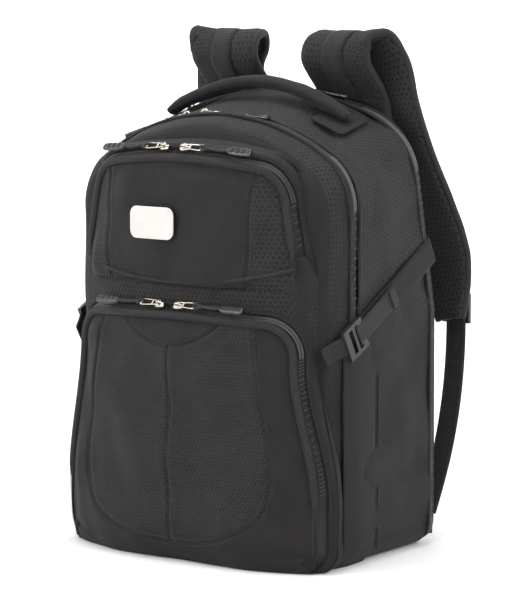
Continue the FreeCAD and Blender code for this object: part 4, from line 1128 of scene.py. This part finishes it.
for side, tag in ((-1, "left"), (1, "right")):
    body = "shoulder_strap_" + tag
    path = spline(mirrored(STRAP, side), 150)
    up = outer_normals(path)
    keep = np.interp(np.linspace(0, 1, len(path)), np.linspace(0, 1, len(TAPER)), TAPER)
    wide = 0.084 * keep
    outer = ribbon("strap_outer_" + tag, path + up * 0.0026, wide, 0.0095, up, M["hex"], edge=0.5, sides=20)
    inner = ribbon("strap_inner_" + tag, path - up * 0.0026, wide * 0.985, 0.0095, up, M["mesh"], edge=0.5,
                   sides=20)
    _, sd, _ = frames(path, up)
    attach(outer, body)
    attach(inner, body)
    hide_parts("strap_pad_" + tag)
    for k in (-1, 1):
        where = "in" if k < 0 else "out"
        rim = tube(f"strap_binding_{tag}_{where}", path + sd * (k * (wide / 2 - 0.0022))[:, None], 0.0042,
                   M["bind"], up=up, sides=12, squash=1.05)
        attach(rim, body)
        line = path + sd * (k * (wide / 2 - 0.0078))[:, None] + up * 0.0062
        row = stitches(f"strap_row_{tag}_{'in' if k < 0 else 'out'}", line, up[0], raise_by=0.0003)
        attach(row, body)
    lane = path[6:-12] + up[6:-12] * 0.0082
    web = ribbon("strap_webbing_cloth_" + tag, lane, 0.028, 0.0018, outer_normals(lane), M["web"], sides=6)
    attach(web, body)
    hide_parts("strap_webbing_" + tag)
    low_path = spline(mirrored(LOW, side), 70)
    low = ribbon("lower_webbing_cloth_" + tag, low_path, 0.025, 0.0016, outer_normals(low_path), M["web"],
                 sides=6)
    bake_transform(low)
    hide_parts("lower_webbing_" + tag)

    # Triangular tab that holds the lower webbing at the base.
    corners = np.array([(113, 12), (150, 9), (151, 57)], float) / 1000
    grid = []
    for a in np.linspace(0, 1, 14):
        edge0 = corners[0] * (1 - a) + corners[1] * a
        edge1 = corners[0] * (1 - a) + corners[2] * a
        grid.append([edge0 * (1 - b) + edge1 * b for b in np.linspace(0, 1, 14)])
    grid = np.array(grid)
    depth = np.full(grid.shape[:2], 0.1562) - 0.0012 * (grid[..., 0] > 0.148)
    P = np.stack([side * grid[..., 0], depth, grid[..., 1]], -1)
    tab = sheet_grid("strap_tab_cloth_" + tag, P, M["plain"], 0.0022, out=(0, 0.0, 0.03))
    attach(tab, "back_section")
    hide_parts("strap_tab_" + tag)

yoke_low, yoke_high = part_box("strap_yoke")
xs = np.linspace(yoke_low[0], yoke_high[0], 60)
zs = np.linspace(yoke_low[2], yoke_high[2], 10)
X, Z = np.meshgrid(xs, zs, indexing="ij")
P = np.stack([X, back_depth(Z) + 0.0058 + 0 * X, Z], -1)
yoke = sheet_grid("strap_yoke_cloth", P, M["plain"], 0.003, out=(0, 0, 0.45))
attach(yoke, "back_section")
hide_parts("strap_yoke")

# ---------------------------------------------------------------- grab handle

HANDLE = np.array([(-116, 47, 452), (-104, 47.5, 460), (-84, 48, 468.5), (-46, 48, 480.5), (0, 48, 486.5),
                   (46, 48, 480.5), (84, 48, 468.5), (104, 47.5, 460), (116, 47, 452)], float) / 1000
hp = spline(HANDLE, 130)
fat = 0.0112 * (1 - 0.22 * np.abs(np.linspace(-1, 1, len(hp))) ** 6)
handle = tube("grab_handle_cloth", hp, fat, M["plain"], up=(0, 0, 1), sides=22, squash=0.62)
co = np.array([v.co for v in handle.data.vertices])
co += wrinkle(co, 0.0006, 0.03, 51)[:, None] * np.array([0.2, 1, 0.6])
handle.data.vertices.foreach_set("co", co.astype(np.float32).ravel())
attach(handle, "handle")
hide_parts("grab_handle")
_, hs, hl = frames(hp, (0, 0, 1))
for rise in (0.42, -0.30):
    a = math.asin(rise)
    off = hs * (fat * math.cos(a))[:, None] * (1 if hs[60, 1] < 0 else -1) + hl * (fat * rise)[:, None]
    seam = stitches("handle_seam_%d" % (1 if rise > 0 else 2), (hp + off)[6:-6], (0, -1, 0.2),
                    raise_by=0.0003)
    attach(seam, "handle")
for side, tag in ((-1, "left"), (1, "right")):
    low, high = (np.array(c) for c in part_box("handle_anchor_" + tag))
    xs = np.linspace(low[0] - 0.003, high[0] + 0.004, 26)
    ys = np.linspace(low[1] - 0.004, high[1] + 0.004, 26)
    X, Y = np.meshgrid(xs, ys, indexing="ij")
    w = (Y + 0.008) / 0.158
    top = MAIN[1] + (REAR[1] - MAIN[1]) * w
    crown = MAIN[2] + (REAR[2] - MAIN[2]) * w
    Z = top - crown + np.sqrt(crown ** 2 - X ** 2) + 0.0034
    mx, my = (xs[0] + xs[-1]) / 2, (ys[0] + ys[-1]) / 2
    wx, wy = (xs[-1] - xs[0]) / 2, (ys[-1] - ys[0]) / 2
    ox, oy = np.clip(np.abs(X - mx) - wx + 0.008, 0, None), np.clip(np.abs(Y - my) - wy + 0.008, 0, None)
    cut = np.minimum(1, 0.008 / np.maximum(np.hypot(ox, oy), 1e-9))
    X = mx + np.sign(X - mx) * (np.minimum(np.abs(X - mx), wx - 0.008) + ox * cut)
    Y = my + np.sign(Y - my) * (np.minimum(np.abs(Y - my), wy - 0.008) + oy * cut)
    patch = sheet_grid("handle_patch_" + tag, np.stack([X, Y, Z], -1), M["plain"], 0.0016, out=(0, 0.03, 0.2))
    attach(patch, "main_section")
    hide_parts("handle_anchor_" + tag)
    k = slice(3, -3)
    box_line = np.vstack([np.stack([X, Y, Z], -1)[3, k], np.stack([X, Y, Z], -1)[k, -4],
                          np.stack([X, Y, Z], -1)[-4, k][::-1], np.stack([X, Y, Z], -1)[k, 3][::-1]])
    row = stitches("handle_patch_row_" + tag, box_line, (side * 0.35, 0, 0.93), raise_by=0.0004)
    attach(row, "main_section")

rivets = []
for side in (-1, 1):
    low, high = (np.array(c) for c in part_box("handle_rivets"))
    y = (low[1] + high[1]) / 2
    seat = np.array([side * 0.103, y, low[2] + 0.0015])
    normal = unit(np.array([side * 0.34, -0.2, 0.92]))
    spots = [seat + normal * h for h in (0, 0.0022, 0.0036, 0.0044, 0.0047)]
    dome = [0.0048, 0.0047, 0.0036, 0.0018, 0.0004]
    rivets.append(tube("rivet", spots, dome, M["metal"], up=(0, 1, 0), sides=18))
rivet = join("handle_rivet_metal", rivets)
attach(rivet, "main_section")
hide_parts("handle_rivets")

# ---------------------------------------------------------------- compression straps

for side, tag in ((-1, "left"), (1, "right")):
    band_route = [(172.2, -2, 243), (170.0, 40, 265), (167.2, 90, 292), (162.6, 133, 314)]
    band_pts = spline(mirrored(band_route, side), 60)
    outward = np.array([side, 0, 0.0])
    band = ribbon("compression_band_cloth_" + tag, band_pts, 0.030, 0.0016, outward, M["plain"], sides=8)
    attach(band, "main_section")
    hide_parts("compression_band_" + tag)
    tail_route = [(176.0, -14, 238), (176.6, 4, 248), (175.4, 28, 261), (173.6, 52, 274)]
    tail_pts = spline(mirrored(tail_route, side), 50)
    tail = ribbon("compression_tail_" + tag, tail_pts, 0.024, 0.0017, outward, M["web"], sides=6)
    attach(tail, "main_section")
    hem_pts = tail_pts[-8:] + np.array([side * 0.0016, 0, 0])
    hem = ribbon("compression_tail_hem_" + tag, hem_pts, 0.0235, 0.0022, outward, M["web"], sides=6)
    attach(hem, "main_section")
    front_route = [(162.6, -53, 218), (167.0, -44, 223), (172.2, -35, 228), (174.6, -27, 231)]
    front_pts = spline(mirrored(front_route, side), 40)
    front_web = ribbon("compression_webbing_cloth_" + tag, front_pts, 0.022, 0.0016, outward, M["web"],
                       sides=6)
    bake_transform(front_web)
    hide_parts("compression_webbing_" + tag)

# ---------------------------------------------------------------- sliders and pulls

TILT = {"lower": (-42, (0, -0.0010, -0.0062)), "upper": (-42, (0, -0.0010, -0.0062)),
        "main": (0, (0, 0.0, 0.0008)), "rear": (0, (0, 0.0, 0.0008))}


BOW = {"lower": 2.0, "upper": 0.7, "main": 0.28, "rear": 0.36}


def turned(points, centre, degrees):
    a = math.radians(degrees)
    p = np.asarray(points, float) - centre
    y = p[..., 1] * math.cos(a) + p[..., 2] * math.sin(a)
    z = -p[..., 1] * math.sin(a) + p[..., 2] * math.cos(a)
    return np.stack([p[..., 0], y, z], -1) + centre


def spin(obj, centre, degrees, shift):
    co = np.array([v.co for v in obj.data.vertices])
    co = turned(co, centre, degrees) + np.array(shift)
    obj.data.vertices.foreach_set("co", co.astype(np.float32).ravel())
    obj.data.update()
    return obj


for zip_name, (tilt, shift) in TILT.items():
    for side, tag in ((-1, "left"), (1, "right")):
        motion = "swing" if zip_name == "rear" else "flip"
        joint = [j for j in frame["joints"] if j["name"] == f"{zip_name}_pull_{motion}_{tag}"][0]
        pin_at = np.array(joint["pos_m"])
        a = math.radians(tilt)
        seat = pin_at - 0.0046 * np.array([0, math.sin(a), math.cos(a)])
        base_path = np.stack([np.linspace(-0.0055, 0.0055, 9), np.zeros(9), np.zeros(9)], 1)
        base_path = base_path + seat + [0, 0, 0.0016]
        wide = 0.0082 * np.array([0.72, 0.9, 1, 1, 0.96, 0.86, 0.8, 0.78, 0.7])
        body = ribbon("s", base_path, wide, 0.0030, (0, 0, 1), M["metal"], edge=0.6, sides=8)
        rail = ribbon("r", base_path + [0, 0, 0.0013], wide * 0.62, 0.0014, (0, 0, 1), M["metal"],
                      edge=0.7, sides=6)
        ang = np.linspace(0, math.pi, 15)
        arc = np.stack([np.cos(ang) * 0.0042, 0 * ang, np.sin(ang) * 0.0036], 1) + seat + [0, 0, 0.0026]
        bridge = tube("b", arc, 0.0009, M["metal"], up=(0, 1, 0), sides=8, squash=1.6)
        slider = join(f"{zip_name}_slider_metal_{tag}", [body, rail, bridge])
        spin(slider, seat, tilt, shift)
        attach(slider, f"{zip_name}_slider_{tag}_body")
        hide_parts(f"{zip_name}_slider_{tag}")
        plow, phigh = (np.array(c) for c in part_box(f"{zip_name}_pull_{tag}"))
        pin = seat + [0, 0, 0.0046]
        far = phigh[0] if side > 0 else plow[0]
        reach = abs(far - pin[0])

        def spot(s, rise=0.0):
            fall = 0.5 * (abs(pin[0] + side * reach) ** 2 - abs(pin[0]) ** 2) / BOW[zip_name]
            return np.array([pin[0] + side * reach * s, pin[1], pin[2] - fall * s + rise])

        link = []
        for k in (-1, 1):
            rod = np.array([spot(s) + [0, k * (0.0031 - 0.0006 * math.cos(s * 12)), 0]
                            for s in np.linspace(0.0, 0.27, 12)])
            link.append(tube("l", rod, 0.00075, M["metal"], up=(0, 0, 1), sides=8, squash=0.8))
        for s in (0.0, 0.10, 0.27):
            bar = np.array([spot(s) + [0, k, 0] for k in np.linspace(-0.0037, 0.0037, 7)])
            link.append(tube("l", bar, 0.00085, M["metal"], up=(0, 0, 1), sides=8))
        metal = join(f"{zip_name}_pull_link_{tag}", link)
        cords = []
        for k in (-1, 1):
            line = np.array([spot(s) + [0, k * 0.0017 * math.cos((s - 0.25) * 11), k * 0.0006]
                             for s in np.linspace(0.245, 0.70, 26)])
            cords.append(tube("c", line, 0.00145, M["cord"], up=(0, 0, 1), sides=8))
        knot = np.array([spot(0.30) + np.array([math.sin(a) * 0.0018, math.cos(a) * 0.0028,
                                                math.sin(2 * a) * 0.0012])
                         for a in np.linspace(0, 2 * math.pi, 22)])
        cords.append(tube("k", knot, 0.0015, M["cord"], up=(0, 0, 1), sides=8))
        cord_obj = join(f"{zip_name}_pull_cord_{tag}", cords)
        grip = np.array([spot(s) for s in np.linspace(0.66, 1.0, 26)])
        w = 0.0098 * np.concatenate([np.linspace(0.55, 1, 6), np.ones(15), np.linspace(1, 0.86, 5)])
        ribs = 0.0042 + 0.0003 * np.sin(np.linspace(0, 26, 26))
        tab = ribbon(f"{zip_name}_pull_grip_{tag}", grip, w, ribs, (0, 0, 1), M["rubber"], edge=0.55,
                     sides=10)
        for part in (metal, cord_obj, tab):
            spin(part, seat, tilt, shift)
            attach(part, f"{zip_name}_pull_{tag}_body")
        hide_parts(f"{zip_name}_pull_{tag}")

# ---------------------------------------------------------------- hard parts, lining, patch

for name, material in (("ladder_lock_left", "plastic"), ("ladder_lock_right", "plastic"),
                       ("compression_buckle_left", "plastic"), ("compression_buckle_right", "plastic"),
                       ("divider_panel", "lining")):
    mesh = frame["nodes"][name].data
    mesh.materials.clear()
    mesh.materials.append(M[material])

xs, zs = np.linspace(-1, 1, 40), np.linspace(-1, 1, 26)
X, Z = np.meshgrid(xs, zs, indexing="ij")
pw, ph, pr = 0.029, 0.0165, 0.009
ox = np.clip(np.abs(X * pw) - (pw - pr), 0, None)
oz = np.clip(np.abs(Z * ph) - (ph - pr), 0, None)
over = np.maximum(np.hypot(ox, oz), 1e-9)
keep = np.minimum(1, pr / over)
X = np.sign(X) * (np.minimum(np.abs(X * pw), pw - pr) + ox * keep)
Z = np.sign(Z) * (np.minimum(np.abs(Z * ph), ph - pr) + oz * keep)
CX, CZ = -0.024, 0.347
flat = np.stack([X + CX, Z + CZ], -1)
P = np.stack([flat[..., 0], face_y("upper", flat[..., 0], flat[..., 1]) - 0.0042, flat[..., 1]], -1)
patch = sheet_grid("pale_patch", P, M["patch"], 0.0012, cloth=np.stack([X, Z, 0 * X], -1), out=(0, 0.2, 0.35))
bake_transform(patch)

# ---------------------------------------------------------------- floor, light and camera

# A round studio floor that sweeps up on every side, wide enough for a camera all round the bag.
FLOOR_TURNS = 64
FLOOR_PROFILE = [(0.0, 0.0), (1.5, 0.0), (5.2, 0.0), (6.2, 0.15), (7.0, 0.7), (7.4, 1.6), (7.6, 3.2),
                 (7.6, 7.0)]
floor_mesh = bpy.data.meshes.new("floor")
verts = [(reach * math.cos(2 * math.pi * k / FLOOR_TURNS), reach * math.sin(2 * math.pi * k / FLOOR_TURNS),
          rise - 0.0004) for reach, rise in FLOOR_PROFILE for k in range(FLOOR_TURNS)]
faces = [(row * FLOOR_TURNS + k, row * FLOOR_TURNS + (k + 1) % FLOOR_TURNS,
          (row + 1) * FLOOR_TURNS + (k + 1) % FLOOR_TURNS, (row + 1) * FLOOR_TURNS + k)
         for row in range(len(FLOOR_PROFILE) - 1) for k in range(FLOOR_TURNS)]
floor_mesh.from_pydata(verts, [], faces)
floor = bpy.data.objects.new("floor", floor_mesh)
bpy.context.collection.objects.link(floor)
floor_mesh.materials.append(plain_material("floor_paper", rgb("dcdcdc"), 0.9))
floor_mesh.polygons.foreach_set("use_smooth", [True] * len(faces))

world = bpy.data.worlds.new("studio")
bpy.context.scene.world = world
world.use_nodes = True
world.node_tree.nodes["Background"].inputs["Color"].default_value = (1, 1, 1, 1)
world.node_tree.nodes["Background"].inputs["Strength"].default_value = 0.22

AZ, EL, DIST = math.radians(38), math.radians(6.5), 3.125
TARGET = Vector((0.028, 0.025, 0.258))
BACK = Vector((math.sin(AZ) * math.cos(EL), -math.cos(AZ) * math.cos(EL), math.sin(EL)))
RIGHT = Vector((math.cos(AZ), math.sin(AZ), 0))


def area(name, spot, size, power):
    lamp = bpy.data.lights.new(name, "AREA")
    lamp.shape = "RECTANGLE"
    lamp.size, lamp.size_y = size
    lamp.energy = power
    obj = bpy.data.objects.new(name, lamp)
    bpy.context.collection.objects.link(obj)
    obj.location = spot
    obj.rotation_mode = "QUATERNION"
    obj.rotation_quaternion = (TARGET - Vector(spot)).to_track_quat("-Z", "Y")
    return obj


area("key", TARGET + BACK * 1.5 + RIGHT * 1.5 + Vector((0, 0, 0.9)), (0.6, 0.6), 21)
area("fill", TARGET + BACK * 0.9 - RIGHT * 1.7 + Vector((0, 0, 0.9)), (0.5, 0.5), 19)
area("top", TARGET + Vector((0, 0, 1.9)), (1.2, 1.2), 38)

# Four lamps over the outer floor keep the backdrop white from every side.
for quarter in range(4):
    turn = AZ + quarter * math.pi / 2
    away = Vector((-math.sin(turn), math.cos(turn), 0))
    wash = area("backdrop_%d" % quarter, away * 3.4 + Vector((0, 0, 4.2)), (4.0, 1.6), 420)
    wash.rotation_quaternion = (away * 3.4 + Vector((0, 0, -3.2))).to_track_quat("-Z", "Y")

cam_data = bpy.data.cameras.new("camera")
cam = bpy.data.objects.new("camera", cam_data)
bpy.context.collection.objects.link(cam)
cam_data.sensor_width = 36
cam_data.lens = 178.5
cam.location = TARGET + BACK * DIST
cam.rotation_mode = "QUATERNION"
cam.rotation_quaternion = (-BACK).to_track_quat("-Z", "Y")
bpy.context.scene.camera = cam
bpy.context.scene.view_settings.view_transform = "Standard"
